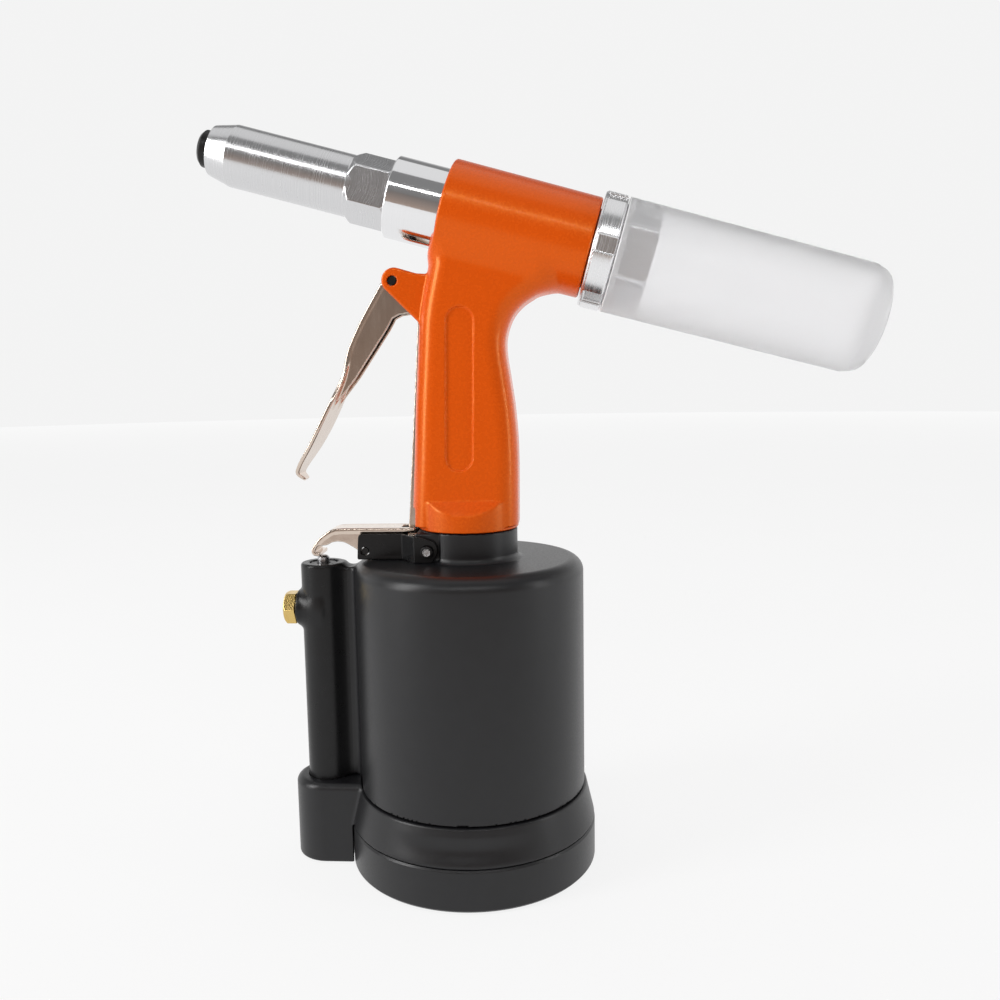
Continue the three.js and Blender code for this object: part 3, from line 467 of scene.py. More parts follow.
def net(values, low, step):
    """Quads over the zero surface of a sampled field."""
    inside = values < 0
    cells = tuple(n - 1 for n in values.shape)
    filled = sum(inside[tuple(slice(c[k], c[k] + cells[k]) for k in range(3))].astype(np.int8)
                 for c in CORNERS)
    cell = np.argwhere((filled > 0) & (filled < 8))
    number = np.full(cells, -1)
    number[tuple(cell.T)] = np.arange(len(cell))
    total, hits = np.zeros((len(cell), 3)), np.zeros(len(cell))
    for a, b in EDGES:
        va, vb = values[tuple((cell + a).T)], values[tuple((cell + b).T)]
        crossed = (va < 0) != (vb < 0)
        share = np.where(crossed, va / np.where(crossed, va - vb, 1), 0)
        total += np.where(crossed[:, None], a + share[:, None] * (b - a), 0)
        hits += crossed
    points = np.array(low) + (cell + total / hits[:, None]) * step
    faces = []
    for axis in range(3):
        p, q = [k for k in range(3) if k != axis]
        here = [slice(None)] * 3
        ahead = [slice(None)] * 3
        here[axis], ahead[axis] = slice(0, -1), slice(1, None)
        changed = inside[tuple(here)] != inside[tuple(ahead)]
        at = np.argwhere(changed)
        at = at[(at[:, p] > 0) & (at[:, q] > 0) & (at[:, p] < cells[p]) & (at[:, q] < cells[q])]
        back_p, back_q = np.eye(3, dtype=int)[p], np.eye(3, dtype=int)[q]
        quad = np.stack([number[tuple((at - s * back_p - t * back_q).T)]
                         for s, t in ((1, 1), (0, 1), (0, 0), (1, 0))], 1)
        flip = inside[tuple(at.T)] == (axis == 1)
        quad[flip] = quad[flip][:, ::-1]
        faces.append(quad)
    return points, np.concatenate(faces)


def slope(field, points, h=0.02):
    """Unit normals of the field at points."""
    g = np.stack([field(*(points + h * e).T) - field(*(points - h * e).T) for e in np.eye(3)], 1)
    return g / np.maximum(np.linalg.norm(g, axis=1), 1e-9)[:, None]


def settle(field, points, faces, step, rounds=3):
    """Evens the net out and draws it onto the surface itself."""
    pairs = np.concatenate([faces[:, [k, (k + 1) % 4]] for k in range(4)])
    near = np.bincount(pairs[:, 0], minlength=len(points))[:, None]
    for _ in range(rounds):
        sums = np.stack([np.bincount(pairs[:, 0], points[pairs[:, 1], k], len(points)) for k in range(3)], 1)
        points = points + 0.5 * (sums / near - points)
        for _ in range(2):
            n = slope(field, points)
            points = points - np.clip(field(*points.T), -step, step)[:, None] * n
    return points


# ---------------------------------------------------------------- meshes and pieces


def piece(name, points, faces, normals, finish, body, nodes, place=UPRIGHT):
    """One visible piece, its points in millimetres before place is applied."""
    mesh = bpy.data.meshes.new(name)
    mesh.from_pydata((np.array(points) * MM).tolist(), [], [list(f) for f in faces])
    mesh.shade_smooth()
    if normals is not None:
        mesh.normals_split_custom_set_from_vertices(np.array(normals).tolist())
    obj = bpy.data.objects.new(name, mesh)
    bpy.context.scene.collection.objects.link(obj)
    obj.matrix_world = place
    mesh.materials.append(FINISH[finish])
    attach(obj, body)
    if nodes:
        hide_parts(*nodes)
    return obj


def solid(name, field, low, high, step, finish, body, nodes, place=UPRIGHT):
    """A piece from a distance field inside a box."""
    low = np.array(low, float) - 2 * step
    points, faces = net(sample(field, low, np.array(high) + 2 * step, step), low, step)
    points = settle(field, points, faces, step)
    return piece(name, points, faces.tolist(), slope(field, points), finish, body, nodes, place)


def lathe(name, profile, finish, body, nodes, axis="Z", radius=0.3, turns=144, place=UPRIGHT):
    """A turned piece. The profile is [radius, height] or [radius, height, corner radius] points."""
    open_ends = profile[0][0] == 0 and profile[-1][0] == 0
    line, bend = soften(profile, radius, loop=not open_ends)
    angles = 2 * math.pi * np.arange(turns) / turns
    points, normals, rows = [], [], []
    for (r, h), (nr, nh) in zip(line, bend):
        if r < 1e-6:
            rows.append([len(points)] * turns)
            points.append((0, 0, h))
            normals.append((0, 0, math.copysign(1, nh)))
            continue
        rows.append(list(range(len(points), len(points) + turns)))
        points += [(r * math.cos(a), r * math.sin(a), h) for a in angles]
        normals += [(nr * math.cos(a), nr * math.sin(a), nh) for a in angles]
    faces = []
    for lower, upper in zip(rows, rows[1:] + ([] if open_ends else rows[:1])):
        for k in range(turns):
            m = (k + 1) % turns
            quad = [lower[k], lower[m], upper[m], upper[k]]
            faces.append([v for i, v in enumerate(quad) if v != quad[i - 1]])
    if axis == "X":     # the profile's height runs along +X
        points, normals = ([(h, x, y) for x, y, h in triples] for triples in (points, normals))
    if axis == "Y":
        points, normals = ([(y, h, x) for x, y, h in triples] for triples in (points, normals))
    return piece(name, points, faces, normals, finish, body, nodes, place)


def coil(name, radius, wire, low, high, turns, finish, body, nodes, place, axis="Z"):
    """A compression spring with closed, ground ends."""
    steps, ring = int(turns * 40), 12
    points, faces = [], []
    for i in range(steps + 1):
        t = i / steps
        ease = np.interp(t * turns, [0, 1, turns - 1, turns], [0, 0.06, 0.94, 1])
        a = 2 * math.pi * turns * t
        out = np.array((math.cos(a), math.sin(a), 0))
        centre = radius * out + np.array((0, 0, low + wire + ease * (high - low - 2 * wire)))
        for k in range(ring):
            b = 2 * math.pi * k / ring
            point = centre + wire * (math.cos(b) * out + np.array((0, 0, math.sin(b))))
            points.append(np.clip(point, (-1e9, -1e9, low + 0.15), (1e9, 1e9, high - 0.15)))
    for i in range(steps):
        for k in range(ring):
            m = (k + 1) % ring
            faces.append([i * ring + k, i * ring + m, (i + 1) * ring + m, (i + 1) * ring + k])
    faces.append(list(range(ring))[::-1])
    faces.append([steps * ring + k for k in range(ring)])
    if axis == "X":
        points = [(z, x, y) for x, y, z in points]
    return piece(name, points, [f[::-1] for f in faces], None, finish, body, nodes, place)


# ---------------------------------------------------------------- body casting

GRIP_FRONT = [
    (-21.9, 128), (-20.9, 142.9), (-19.7, 164), (-18.8, 182), (-17.6, 200), (-16.6, 214), (-15.4, 222),
    (-12.6, 235), (-11, 246),
]
GRIP_REAR = [
    (37, 246), (35.2, 233), (33, 226), (27.6, 222.7), (22.8, 219.6), (19.2, 215.6), (17.0, 210.6),
    (16.1, 205.6), (16.4, 200), (17.6, 192), (19.2, 180), (20.1, 166), (20.1, 150), (19.8, 128),
]
HANDLE_HALF, HANDLE_EDGE = 13.65, 8.0
RIM_Z, RIM_R, LEDGE_Z, LEDGE_TOP = 134.6, 19.7, 141.2, 146.2
ROD_LEAN = math.atan2(ROD_TOP[0] - ROD_FOOT[0], ROD_TOP[1] - ROD_FOOT[1])


def beside_rod(x, z):
    """How far across and along the pull rod a point is, from the rod's foot."""
    dx, dz = x - ROD_FOOT[0], z - ROD_FOOT[1]
    c, s = math.cos(ROD_LEAN), math.sin(ROD_LEAN)
    return dx * c - dz * s, dx * s + dz * c


def body_field():
    grip_line = outline(spline(GRIP_FRONT) + spline(GRIP_REAR), 0.6)
    cheek_line = outline([(-4, 231), (-17, 231.8), (-24.6, 234.1), *arc((-25.6, 229.4), 4.8, 1.36, 3.75),
                          (-16, 213), (-4, 213)], 0.4)
    fall = math.hypot(RIM_R - HANDLE_HALF, LEDGE_TOP - LEDGE_Z)
    rise_r, rise_z = (LEDGE_TOP - LEDGE_Z) / fall, (RIM_R - HANDLE_HALF) / fall

    def barrel(u, y, w):
        tube = hyp(y, w) - (19.15 - 0.0088 * (u - 21.8))
        return common(tube, within(u, -6.5, 50.1), 0.9)

    def rim(r, y, z):
        slope_in = (np.abs(y) - RIM_R) * rise_r + (z - LEDGE_Z) * rise_z
        wall = common(common(r - RIM_R, np.maximum(RIM_Z - z, z - LEDGE_TOP), 0.5), slope_in, 0.5)
        spigot = common(r - 13, within(z, 116, 140), 0.5)
        return np.minimum(wall, spigot)

    def pocket(x, y, z):
        dx, dz = x + 1.2, z - 188.3
        a, b = dx - 0.022 * dz, dz + 0.022 * dx
        return common(hyp(a, b - np.clip(b, -25.5, 25.5)) - 5.2, HANDLE_HALF - 0.85 - np.abs(y), 0.6)

    def hollows(x, y, z, u, w):
        r = hyp(y, w)
        bore = np.minimum(r - 14.0, common(r - 14.7, u + 0.7, 0.2))
        bore = np.minimum(bore, common(r - 15.0, 39 - u, 0.2))
        ram = np.minimum(common(hyp(x, y) - 8, z - 246, 0.2), common(hyp(x, y) - 10.5, z - 126.4, 0.2))
        across, along = beside_rod(x, z)
        groove = box(across, y, along, (-8, -3, 3), (1.95, 3, 101), 0.3)
        slot = box(x, y, z, (-60, -5.6, 205), (-12, 5.6, 236.5), 0.4)
        return bore, ram, np.minimum(groove, slot)

    def field(x, y, z):
        u, w = along_barrel(x, z)
        grip = common(common(grip_line(x, z), np.abs(y) - HANDLE_HALF, HANDLE_EDGE), 136 - z, 0.3)
        solid_part = union(grip, barrel(u, y, w), 4.5)
        cheek = common(cheek_line(x, z), np.abs(y) - 9, 1.0)
        solid_part = union(solid_part, cheek, 0.9)
        solid_part = union(solid_part, rim(hyp(x, y), y, z), 0.6)
        bore, ram, front = hollows(x, y, z, u, w)
        notch = box(x, y, z, (-60, -40, 100), (-RIM_R - 0.1, 40, 142.9), 0.5)
        pin = hyp(x - PIVOT[0], z - PIVOT[1]) - 1.9
        filler = common(hyp(x - 4, z - 228) - 3.2, 8 - y, 0.2)
        for hollow, edge in ((bore, 0.5), (ram, 0.2), (front, 0.5), (notch, 0.5), (pin, 0.35),
                             (pocket(x, y, z), 0.5), (filler, 0.3)):
            solid_part = cut(solid_part, hollow, edge)
        return solid_part

    return field


def make_body():
    solid("body_casting", body_field(), (-32, -20, 115), (59, 20, 276), 0.55, "orange_paint", "frame",
          ["body"])
    lathe("filler_screw", [(0, 7.9), (2.9, 7.9), (2.9, 14.4), (1.5, 14.4), (1.5, 12.6), (0, 12.6)],
          "steel_y", "frame", ["oil_fill_screw"], "Y", 0.2, 48,
          Matrix.Translation((4 * MM, 0, 228 * MM)))
    lathe("trigger_pivot_pin", [(0, -8.4), (1.7, -8.4), (1.7, 8.4), (0, 8.4)], "black_steel", "frame",
          ["trigger_pin"], "Y", 0.35, 40, Matrix.Translation((PIVOT[0] * MM, 0, PIVOT[1] * MM)))


# ---------------------------------------------------------------- nose and barrel pieces


def hexagon(a, b, half):
    """A hexagonal prism's distance, with a flat across a."""
    return np.maximum(np.abs(a), np.maximum(np.abs(0.5 * a + 0.866 * b), np.abs(0.5 * a - 0.866 * b))) - half


def nose_field():
    shell = outline([(8.6, -18), (8.6, -88), (5, -88), (5, -98.5), (9.4, -98.5), (11.6, -89.9), (11.6, -41.6),
                     (9.9, -41.6), (9.9, -18)], 0.2, 4)
    chamfer = outline([(9.1, -43.6), (11.5, -43.6), (13.5, -41.2), (13.5, -28.6), (12.7, -27.8),
                       (9.1, -27.8)], 0.2, 4)

    def field(u, y, w):
        r = hyp(y, w)
        return union(shell(r, u), common(chamfer(r, u), hexagon(y, w, 11.65), 0.3), 0.25)

    return field


def cap_field():
    profile = outline([(3.2, 46.8), (12.4, 46.8), (12.4, 39.4), (14.7, 39.4), (14.7, 50.5), (21.1, 50.5),
                       (21.8, 51.2), (21.8, 58.6), (21.1, 59.3), (19, 59.3), (19, 72), (18, 73), (3.2, 73)],
                       0.25, 4)

    def field(u, y, w):
        r = hyp(y, w)
        flats = np.maximum(hexagon(y, w, 16.8), 59.3 - u)
        shape = common(profile(r, u), np.minimum(flats, u - 59.3), 0.25)
        groove = common(21.8 - 0.35 - r, within(u, 50.4, 51.4), 0.1)
        shape = cut(shape, groove, 0.15)
        for i in range(6):
            a = math.radians(30 + 60 * i)
            out, aside = w * math.cos(a) - y * math.sin(a), y * math.cos(a) + w * math.sin(a)
            notch = common(common(np.abs(aside) - 3.3, 20.6 - out, 0.4), 51.7 - u, 0.6)
            shape = cut(shape, notch, 0.3)
        return shape

    return field


def make_barrel_pieces():
    def turned(name, profile, finish, body, nodes, radius=0.3, turns=144):
        return lathe(name, profile, finish, body, nodes, "X", radius, turns, BARREL)

    turned("chrome_sleeve", [
        (10.2, -27.5), (14.9, -27.5), (15.4, -27.0), (15.4, -6.9), (14.4, -6.9), (14.4, -1), (6.9, -1),
        (6.9, -9), (10.2, -12)], "chrome", "frame", ["head_sleeve"], 0.35)
    solid("nose_barrel", nose_field(), (-98.5, -13.6, -13.6), (-18, 13.6, 13.6), 0.36, "steel", "frame",
          ["nose_housing"], place=BARREL)
    turned("nose_piece", [
        (1.8, -87), (1.8, -102), (2.8, -103), (5.8, -103), (7, -101.8), (7, -98.8), (4.7, -98.8), (4.7, -87)],
        "black_steel", "frame", ["nose_tip"], 0.5, 96)
    solid("rear_ring", cap_field(), (39.4, -21.8, -21.8), (73, 21.8, 21.8), 0.42, "aluminium", "frame",
          ["rear_cap"], place=BARREL)
    turned("mandrel_tube", [(2.3, -2), (2.9, -2), (2.9, 73.2), (2.3, 73.2)], "steel", "frame",
           ["guide_tube"], 0.15, 64)
    bottle = turned("mandrel_bottle", [
        (19.5, 59.7), (21.6, 59.7), (20.65, 153, 3), (18.9, 158.2, 4), (14.8, 160, 5), (0, 160), (0, 158.5),
        (14.4, 158.5, 4), (17.7, 156.8, 3), (19.1, 153, 3), (20.0, 62.6), (19.5, 62.0)],
        "frosted_plastic", "bottle", ["bottle"], 0.4, 160)
    bottle.data.materials.append(FINISH["frosted_rim"])
    for face in bottle.data.polygons:
        if face.center.x < BOTTLE_RIM * MM:
            face.material_index = 1
    turned("return_piston", [
        (3.2, -46.5), (6.5, -46.5), (6.5, 6), (12, 6), (13.7, 7.7), (13.7, 10), (11.2, 10), (11.2, 13.6),
        (13.7, 13.6), (13.7, 17), (3.2, 17)], "steel", "puller", ["pull_piston"], 0.3, 96)
    turned("return_piston_seal", [(11.5, 10.3), (13.8, 10.3), (13.8, 13.3), (11.5, 13.3)], "rubber", "puller",
           ["pull_piston_seal"], 0.9, 96)
    turned("jaw_carrier", [
        (4.4, -86), (8.0, -86), (8.2, -85), (8.2, -38), (6.9, -38), (6.9, -50), (7.2, -50), (7.2, -64)],
        "steel", "puller", ["jaw_case"], 0.2, 72)
    turned("pusher_sleeve", [(2.2, -66), (4.2, -66), (6.4, -63.6), (6.4, -58.6), (2.2, -58.6)], "steel",
           "jaws", ["jaw_pusher"], 0.25, 64)
    coil("jaw_spring", 4.6, 0.55, -58.3, -46.8, 5, "steel", "jaws", ["pusher_spring"], BARREL, "X")
    spring = coil("piston_spring", 10.6, 1.2, 17.3, 46.5, 5, "steel", "frame", ["return_spring"], BARREL, "X")
    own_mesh(spring)


# ---------------------------------------------------------------- trigger and linkage

TRIGGER_LINE = [
    (-31.2, 228.6), (-39.6, 214.8), (-44.6, 204.5), (-47.8, 193), (-54.3, 179.3), (-60.4, 168.3),
    (-65.9, 159.9), (-67.2, 156.2), (-64.8, 153.2),
]


def trigger_field():
    plate = outline(band(spline(TRIGGER_LINE, 10), 1.6), 0.3)
    side = [(5, 236), (5, 206), (5.6, 199), (7.6, 191), (10, 184.5), (10.6, 178), (10.4, 172), (9, 165),
            (6.5, 159), (3.5, 154.5), (0, 152.5)]
    front = outline([(-y, z) for y, z in spline(side, 5)] + spline(side, 5)[::-1], 0.4)
    flange = outline([
        (-31.2, 228.6), *arc(PIVOT, 4.6, math.pi, math.pi / 2), (-15, 229), *arc(ROD_TOP, 2.3, 1.3, -0.5),
        (-16.4, 217.9), (-24.6, 216.9), (-27.2, 215.6), (-29.6, 211.4), (-42.2, 193), (-51.6, 181.5),
        (-52.8, 182.4), (-47.6, 193.4), (-44.4, 204.5), (-39.4, 214.8)], 0.3)

    def field(x, y, z):
        sheet = common(plate(x, z), front(y, z), 0.6)
        walls = common(flange(x, z), within(np.abs(y), 3.5, 5.0), 0.35)
        shape = union(sheet, walls, 0.9)
        shape = cut(shape, hyp(x - PIVOT[0], z - PIVOT[1]) - 2.0, 0.2)
        return cut(shape, hyp(x - ROD_TOP[0], z - ROD_TOP[1]) - 1.3, 0.15)

    return field


def rod_field():
    length = math.hypot(ROD_TOP[0] - ROD_FOOT[0], ROD_TOP[1] - ROD_FOOT[1])

    def field(x, y, z):
        across, along = beside_rod(x, z)
        strip = box(across, y, along, (-1.6, -2.5, 0), (1.6, 2.5, length), 0.4)
        head = common(hyp(across, along - length) - 2.1, np.abs(y) - 2.5, 0.35)
        foot = box(across, y, along, (-1.6, -5.4, 0), (1.6, 5.4, 2.2), 0.4)
        shape = union(union(strip, head, 0.5), foot, 0.5)
        return cut(shape, hyp(across, along - length) - 1.5, 0.2)

    return field


def lever_field():
    top = outline(band(spline([
        (-20.6, LEVER_TOP), (-38, LEVER_TOP), (-51.5, LEVER_TOP - 0.2), (-55.6, LEVER_TOP - 1.7),
        (-59.4, 130.2), (-61.8, 126.4), (-61.2, 124.2), (-58.6, 123.7)], 8), 1.5), 0.25)
    side = outline([
        (-20.6, LEVER_TOP - 0.4), (-51.5, LEVER_TOP - 0.5), (-55.6, LEVER_TOP - 2.1), (-59, 130),
        (-59.8, 128.2), *spline([(-57.7, 128), (-55.5, 128.3), (-53.6, 129.3)], 4),
        *spline([(-51.4, 129.7), (-48.6, 129.3), (-45.4, 127.6)], 4),
        *arc(LEVER_PIVOT, 3.1, math.pi, 2 * math.pi), (-28, LEVER_TOP - 2), (-20.6, LEVER_TOP - 2)], 0.25)

    def field(x, y, z):
        strip = common(top(x, z), np.abs(y) - 6.2, 0.45)
        walls = common(side(x, z), within(np.abs(y), 4.7, 6.2), 0.3)
        shape = union(strip, walls, 0.8)
        fork = box(x, y, z, (-26.4, -3.1, 120), (-10, 3.1, 140), 0.3)
        return cut(cut(shape, fork, 0.3), hyp(x - LEVER_PIVOT[0], z - LEVER_PIVOT[1]) - 1.8, 0.2)

    return field


def bracket_field():
    inner, outer, ear_in, ear_out, low = 6.6, 8.1, 14.3, 15.8, 122.8
    plan = outline(soften([
        (-43.4, inner), (-25.4, inner), (-19.6, ear_in), (-10.4, ear_in), (-10.4, ear_out), (-19.6, ear_out),
        (-25.4, outer), (-43.4, outer)], 0.7)[0], 0.25)
    profile = outline(soften([
        (-43.4, low), (-12.6, low, 0.3), *arc((-14.6, 127.6), 4.2, -0.9, 1.0), (-17.4, 132.9, 0.8),
        (-42.6, 132.9, 1.5)], 0.6)[0], 0.25)

    def field(x, y, z):
        walls = common(plan(x, np.abs(y)), profile(x, z), 0.3)
        floor_part = box(x, y, z, (-37, -8, low), (-26, 8, low + 1.1), 0.3)
        shape = union(walls, floor_part, 0.5)
        for at, r in ((LEVER_PIVOT, 1.7), (SCREW_AT, 2.3)):
            shape = cut(shape, hyp(x - at[0], z - at[1]) - r, 0.25)
        return shape

    return field


def bracket_screw_field(side):
    def field(x, y, z):
        r, out = hyp(x - SCREW_AT[0], z - SCREW_AT[1]), y * side
        head = common(r - 2.4, within(out, 16.1, 17.5), 0.5)
        shank = common(r - 1.7, within(out, 10.5, 16.5), 0.2)
        socket = common(hexagon(x - SCREW_AT[0], z - SCREW_AT[1], 1.1), 16.7 - out, 0.1)
        return cut(union(shank, head, 0.2), socket, 0.12)

    return field


def make_linkage():
    solid("trigger_lever", trigger_field(), (-69, -11, 150), (-12, 11, 235), 0.4, "nickel", "trigger",
          ["trigger"])
    solid("trigger_rod", rod_field(), (-26, -5.6, 128), (-12, 5.6, 229), 0.33, "nickel", "pull_rod",
          ["pull_rod"])
    lathe("trigger_link_pin", [(0, -5), (1, -5), (1, 5), (0, 5)], "steel_y", "trigger", ["link_pin"], "Y",
          0.2, 32, Matrix.Translation((ROD_TOP[0] * MM, 0, ROD_TOP[1] * MM)))
    solid("valve_lever", lever_field(), (-63, -6.3, 121), (-19, 6.3, 136.5), 0.3, "nickel", "rocker_lever",
          ["rocker_lever"])
    lathe("valve_lever_pin", [(0, -7.6), (1.45, -7.6), (1.45, 7.6), (0, 7.6)], "black_steel", "frame",
          ["lever_pin"], "Y", 0.3, 40,
          Matrix.Translation((LEVER_PIVOT[0] * MM, 0, LEVER_PIVOT[1] * MM)))
    solid("valve_bracket", bracket_field(), (-43.6, -16, 122.6), (-10, 16, 133), 0.33, "black_column",
          "frame", ["lever_bracket"])
    for name, node, side in (("ear_screw_near", "bracket_screw_near", -1),
                             ("ear_screw_far", "bracket_screw_far", 1)):
        low, high = sorted((side * 10.4, side * 17.7))
        screw = solid(name, bracket_screw_field(side), (-17.6, low, 124.1), (-11.6, high, 130.1), 0.16,
                      "black_steel", "frame", [node])
        # faces round the socket take bright turned steel: a painted glint on the black head
        screw.data.materials.append(FINISH["steel_y"])
        for face in screw.data.polygons:
            across, up = face.center.x / MM - SCREW_AT[0], face.center.z / MM - SCREW_AT[1]
            if math.hypot(across, up) < SOCKET_GLINT_R:
                face.material_index = 1


# ---------------------------------------------------------------- air cylinder and valve column


def cylinder_field():
    def field(x, y, z):
        r, rv = hyp(x, y), hyp(x - VALVE_X, y)
        drum = common(common(r - 45, z - 122.5, 5.4), 31.1 - z, 0.3)
        neck = common(r - 19.2, z - 134.3, 0.4)
        block = box(x, y, z, (-19.6, -14, 115), (-8, 14, 133.7), 0.5)
        neck = cut(neck, common(within(x, -25, -9.5), 14 - np.abs(y), 0.4), 0.4)
        shape = union(drum, union(neck, block, 0.3), 2.4)
        column = common(rv - 9, within(z, 20, 120.6), 0.9)
        flare = np.interp(x, [-69.4, -64.5, -58.5], [7.1, 7.7, 9.2])
        boss = common(hyp(y, z - INLET_Z) - flare, within(x, -69.4, -58), 0.6)
        web = box(x, y, z, (VALVE_X, -4.5, 33.3), (-42.5, 4.5, 119), 1.0)
        shape = union(shape, union(union(column, boss, 2.0), web, 2.6), 2.6)
        hollows = (common(r - 41.6, z - 114, 3), r - 13.3, rv - 5.5,
                   common(hyp(y, z - INLET_Z) - 5.5, x + 65.7, 0.2),
                   hyp(x - SCREW_AT[0], z - SCREW_AT[1]) - 2.0)
        for hollow in hollows:
            shape = cut(shape, hollow, 0.35)
        well = np.maximum(common(rv - 13, z - 33.3, 0.3), 9 - rv)
        return np.maximum(shape, -well)

    return field


def collar_field():
    ring = outline([(38, 16.9), (48.9, 16.9), (48.9, 17.6), (45.9, 30.4), (45.5, 30.8), (41.2, 30.8),
                    (41.2, 36.4), (38, 36.4)], 0.35, 5)

    def field(x, y, z):
        r, rv = hyp(x, y), hyp(x - VALVE_X, y)
        wall = ring(r, z)
        fade = np.clip(1 - (x / 30) ** 2, 0, 1) ** 2 * np.clip(1 - ((z - 23) / 5) ** 2, 0, 1) ** 2
        wall = wall + 0.8 * fade * (y < 0) * (r > 44)
        plan = np.where(x > VALVE_X, np.abs(y), rv) - 14
        boss = common(common(plan, z - 33, 2.8), np.maximum(0.4 - z, x + 36), 0.9)
        for clear in (common(r - 45.3, 30.8 - z, 0.2), r - 39, common(r - 49.4, z - 16.9, 0.2)):
            boss = cut(boss, clear, 0.3)
        shape = union(wall, boss, 1.6)
        for hollow in (common(rv - 9, 19.7 - z, 0.5), common(rv - 6, z - 10, 0.3), rv - 2.2):
            shape = cut(shape, hollow, 0.35)
        return shape

    return field


def inlet_field():
    def field(x, y, z):
        dz = z - INLET_Z
        r = hyp(y, dz)
        chamfer = common(r - 7.0, -74.5 - x + np.maximum(r - 5.9, 0) * 0.9, 0.2)
        head = common(common(hexagon(dz, y, 6.06), within(x, -74.5, -69.7), 0.3), chamfer, 0.2)
        shape = union(head, common(r - 5.2, within(x, -72.5, -66), 0.2), 0.2)
        turn = np.arctan2(y, dz) / (2 * math.pi) + x / 0.94
        thread = 0.3 * np.abs((turn % 1.0) * 2 - 1)
        bore = common(r - 4.1 - thread * 0.9, x + 67.2, 0.2)
        return cut(cut(shape, bore, 0.15), common(r - 4.9, x + 73.9, 0.2), 0.1)

    return field


def make_base():
    drum = solid("air_drum", cylinder_field(), (-71, -45, 20), (45, 45, 134.4), 0.85, "black_paint", "frame",
                 ["air_cylinder"])
    drum.data.materials.append(FINISH["black_column"])
    for face in drum.data.polygons:
        if face.center.x < COLUMN_EDGE * MM:
            face.material_index = 1
    solid("base_collar", collar_field(), (-72.8, -49, 0.3), (49, 49, 36.5), 0.6, "black_paint", "frame",
          ["cylinder_collar"])
    lathe("base_cover", [
        (0, 2.6), (44.6, 2.6), (44.6, 0.3), (48.2, 0.3, 0.6), (49.1, 1.3, 0.8), (49.1, 15.7, 0.6),
        (48.6, 16.6), (37.7, 16.6), (37.7, 27), (34, 27), (34, 8), (0, 8)], "black_paint", "frame",
        ["bottom_cover"], "Z", 0.3, 200)
    grooves = [p for r in (10, 18, 26, 34) for p in ((r, 0), (r, 0.7), (r + 2, 0.7), (r + 2, 0))]
    lathe("foot_rubber", [(0, 0), *grooves, (43.4, 0), (44.2, 0.8), (44.2, 2.3), (0, 2.3)], "rubber", "frame",
          ["foot_pad"], "Z", 0.25, 160)
    solid("inlet_adapter", inlet_field(), (-74.5, -7, 95), (-66, 7, 109), 0.2, "brass", "frame",
          ["inlet_fitting"])
    lathe("valve_guide_bush", [(2.7, 110), (5.2, 110), (5.2, 120.2), (2.7, 120.2)], "black_steel", "frame",
          ["valve_bush"], "Z", 0.25, 72, VALVE)
    lathe("valve_push_stem", [
        (0, 58), (4.9, 58), (4.9, 61), (3.4, 61), (3.4, 64), (4.9, 64), (4.9, 67), (2.4, 70), (2.4, 122.5),
        (1.6, 123.3, 1.0), (0, 123.3)], "steel_z", "valve_stem", ["valve_stem"], "Z", 0.3, 64, VALVE)
    lathe("valve_ring", [(3.7, 61.3), (5.2, 61.3), (5.2, 63.7), (3.7, 63.7)], "rubber", "valve_stem",
          ["valve_seal"], "Z", 0.7, 64, VALVE)
    lathe("valve_plug", [(2.2, 26), (5.2, 26), (5.2, 31), (2.2, 31)], "steel_z", "frame",
          ["valve_spring_seat"], "Z", 0.3, 64, VALVE)
    spring = coil("valve_return_coil", 3.6, 0.6, 31.3, 57.7, 8, "steel_z", "frame", ["valve_spring"], VALVE)
    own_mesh(spring)
    lathe("exhaust_silencer", [(0, 1.9), (5.7, 1.9), (5.7, 9.4), (0, 9.4)], "sintered", "frame",
          ["exhaust_muffler"], "Z", 0.6, 64, VALVE)


def make_ram():
    lathe("drive_piston", [
        (5.3, 38), (40, 38), (41.1, 39), (41.1, 41.4), (38.4, 41.4), (38.4, 45.4), (41.1, 45.4), (41.1, 48),
        (40, 49), (5.3, 49)], "aluminium", "air_piston", ["air_piston"], "Z", 0.4, 160)
    lathe("drive_piston_seal", [(38.7, 41.7), (41.3, 41.7), (41.3, 45.1), (38.7, 45.1)], "rubber",
          "air_piston", ["air_piston_seal"], "Z", 1.0, 160)
    lathe("drive_ram", [
        (0, 30.5), (5, 30.5), (5, 49.3), (7, 49.3), (7, 141), (6, 142), (0, 142)], "steel_z", "air_piston",
        ["ram"], "Z", 0.4, 96)
    lathe("ram_guide", [
        (7.3, 110.6), (12.8, 110.6), (12.8, 115.6), (10.2, 115.6), (10.2, 121.6), (7.3, 121.6)], "brass",
        "frame", ["ram_gland"], "Z", 0.3, 96)
    lathe("ram_guide_seal", [(7.3, 121.9), (10.2, 121.9), (10.2, 126.1), (7.3, 126.1)], "rubber", "frame",
          ["ram_seal"], "Z", 0.9, 96)


# ---------------------------------------------------------------- stage and light


WHITE = 0.9              # how bright the backdrop is
FLOOR_R = 5.0
EDGE_WIDTH, EDGE_AWAY, EDGE_HEIGHT = 2.8, 0.8, 0.42


def soft_light(name, place, towards, size, power):
    data = bpy.data.lights.new(name, "AREA")
    data.shape, data.size, data.size_y, data.energy = "RECTANGLE", size[0], size[1], power
    lamp = bpy.data.objects.new(name, data)
    bpy.context.scene.collection.objects.link(lamp)
    lamp.location = place
    lamp.rotation_euler = (Vector(towards) - Vector(place)).to_track_quat("-Z", "Y").to_euler()


def stage_sheet(name, points, faces, material, seen):
    mesh = bpy.data.meshes.new(name)
    mesh.from_pydata(points, [], faces)
    mesh.materials.append(material)
    sheet = bpy.data.objects.new(name, mesh)
    bpy.context.scene.collection.objects.link(sheet)
    sheet.visible_camera = seen


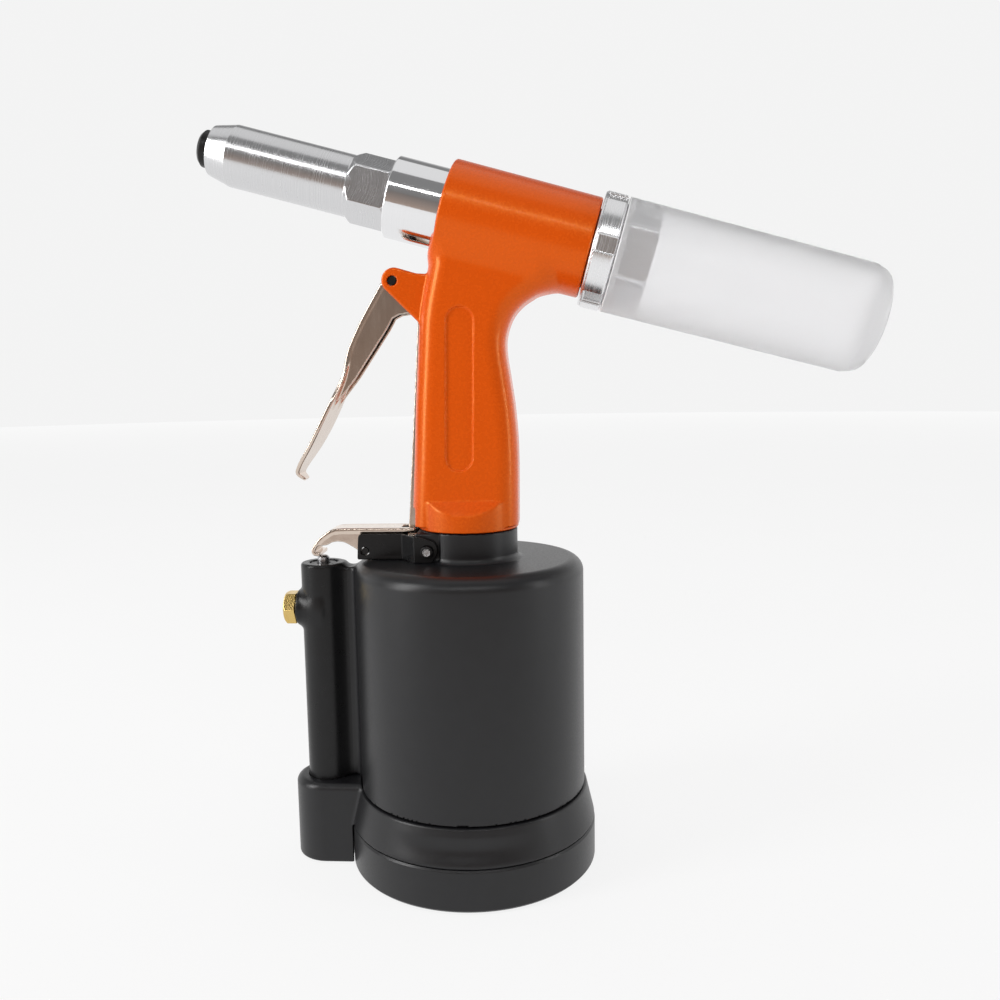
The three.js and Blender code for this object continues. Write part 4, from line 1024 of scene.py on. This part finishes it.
def paper_floor():
    count = 96
    turns = [2 * math.pi * k / count for k in range(count)]
    ring = [(FLOOR_R * math.cos(a), FLOOR_R * math.sin(a), -0.0002) for a in turns]
    m = Nodes("floor_paper", Emission_Color=(1, 1, 1, 1), Emission_Strength=0.84, Specular_IOR_Level=0.0)
    m.colour(m.blend(m.noise(6, 2), (0.12, 0.12, 0.12), (0.13, 0.13, 0.13)))
    m.roughness(m.spread(m.noise(40, 2), 0.8, 0.9))
    stage_sheet("floor", ring, [list(range(count))], m.material, True)


def glow(name, low, high, bottom, top):
    """An unlit wall whose brightness runs from its foot to its top."""
    m = Nodes(name, Specular_IOR_Level=0.0)
    m.shader.inputs["Base Color"].default_value = (0, 0, 0, 1)
    parts = m.add("ShaderNodeSeparateXYZ")
    m.put(parts, 0, m.place)
    m.put(m.shader, "Emission Color", m.blend(m.spread(parts.outputs["Z"], 0, 1, bottom, top), low, high))
    m.shader.inputs["Emission Strength"].default_value = 1.0
    return m.material


def studio_room():
    """The dim room round the tool, lighter behind it, and the dark table edge in front of it."""
    count, rows = 48, (0.0, 0.12, 0.25, 0.4, 0.6, 0.8, 0.95, 1.0)
    dark = (0.24, 0.24, 0.24)
    points, front, back = [], [], []
    for t in rows:
        a = t * math.pi / 2 * 0.995
        points += [(FLOOR_R * math.cos(a) * math.cos(2 * math.pi * k / count),
                    FLOOR_R * math.cos(a) * math.sin(2 * math.pi * k / count), FLOOR_R * math.sin(a))
                   for k in range(count)]
    for i in range(len(rows) - 1):
        low, high = i * count, (i + 1) * count
        for k in range(count):
            m = (k + 1) % count
            (back if 1 <= k < count // 2 - 1 else front).append([low + k, low + m, high + m, high + k])
    stage_sheet("room_front", points, front, glow("room_front", (0.2, 0.19, 0.185), dark, 0.5, 3.0), False)
    stage_sheet("room_back", points, back, glow("room_back", (1.1, 1.1, 1.1), dark, 1.4, 3.6), False)
    half = EDGE_WIDTH / 2
    edge = [(x, -EDGE_AWAY, z) for x, z in ((-half, 0), (half, 0), (half, EDGE_HEIGHT), (-half, EDGE_HEIGHT))]
    stage_sheet("table_edge", edge, [[0, 1, 2, 3]],
                glow("table_edge", (0.40, 0.31, 0.26), (0.2, 0.18, 0.17), 0.0, EDGE_HEIGHT), False)


def make_stage():
    paper_floor()
    studio_room()
    world = bpy.data.worlds.new("studio")
    world.use_nodes = True
    world.node_tree.nodes["Background"].inputs["Color"].default_value = (1, 1, 1, 1)
    world.node_tree.nodes["Background"].inputs["Strength"].default_value = WHITE
    bpy.context.scene.world = world
    bpy.context.scene.view_settings.view_transform = "Standard"
    middle = (0.0, 0, 0.18)
    soft_light("key", (-1.15, -0.62, 0.6), middle, (0.45, 1.1), 13)
    soft_light("strip", (0.1, -1.2, 0.95), middle, (1.5, 0.09), 4)
    soft_light("side", (1.2, -0.25, 0.4), middle, (0.22, 1.0), 3)
    soft_light("top", (0.0, 0.05, 1.5), middle, (1.8, 1.2), 4)


# ---------------------------------------------------------------- assembly

HIDDEN = {"jaw_1": "steel", "jaw_2": "steel", "jaw_3": "steel", "piston_nut": "steel_z"}

make_camera()
make_body()
make_barrel_pieces()
make_linkage()
make_base()
make_ram()
for node, finish in HIDDEN.items():
    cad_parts[node].data.materials.clear()
    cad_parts[node].data.materials.append(FINISH[finish])
make_stage()
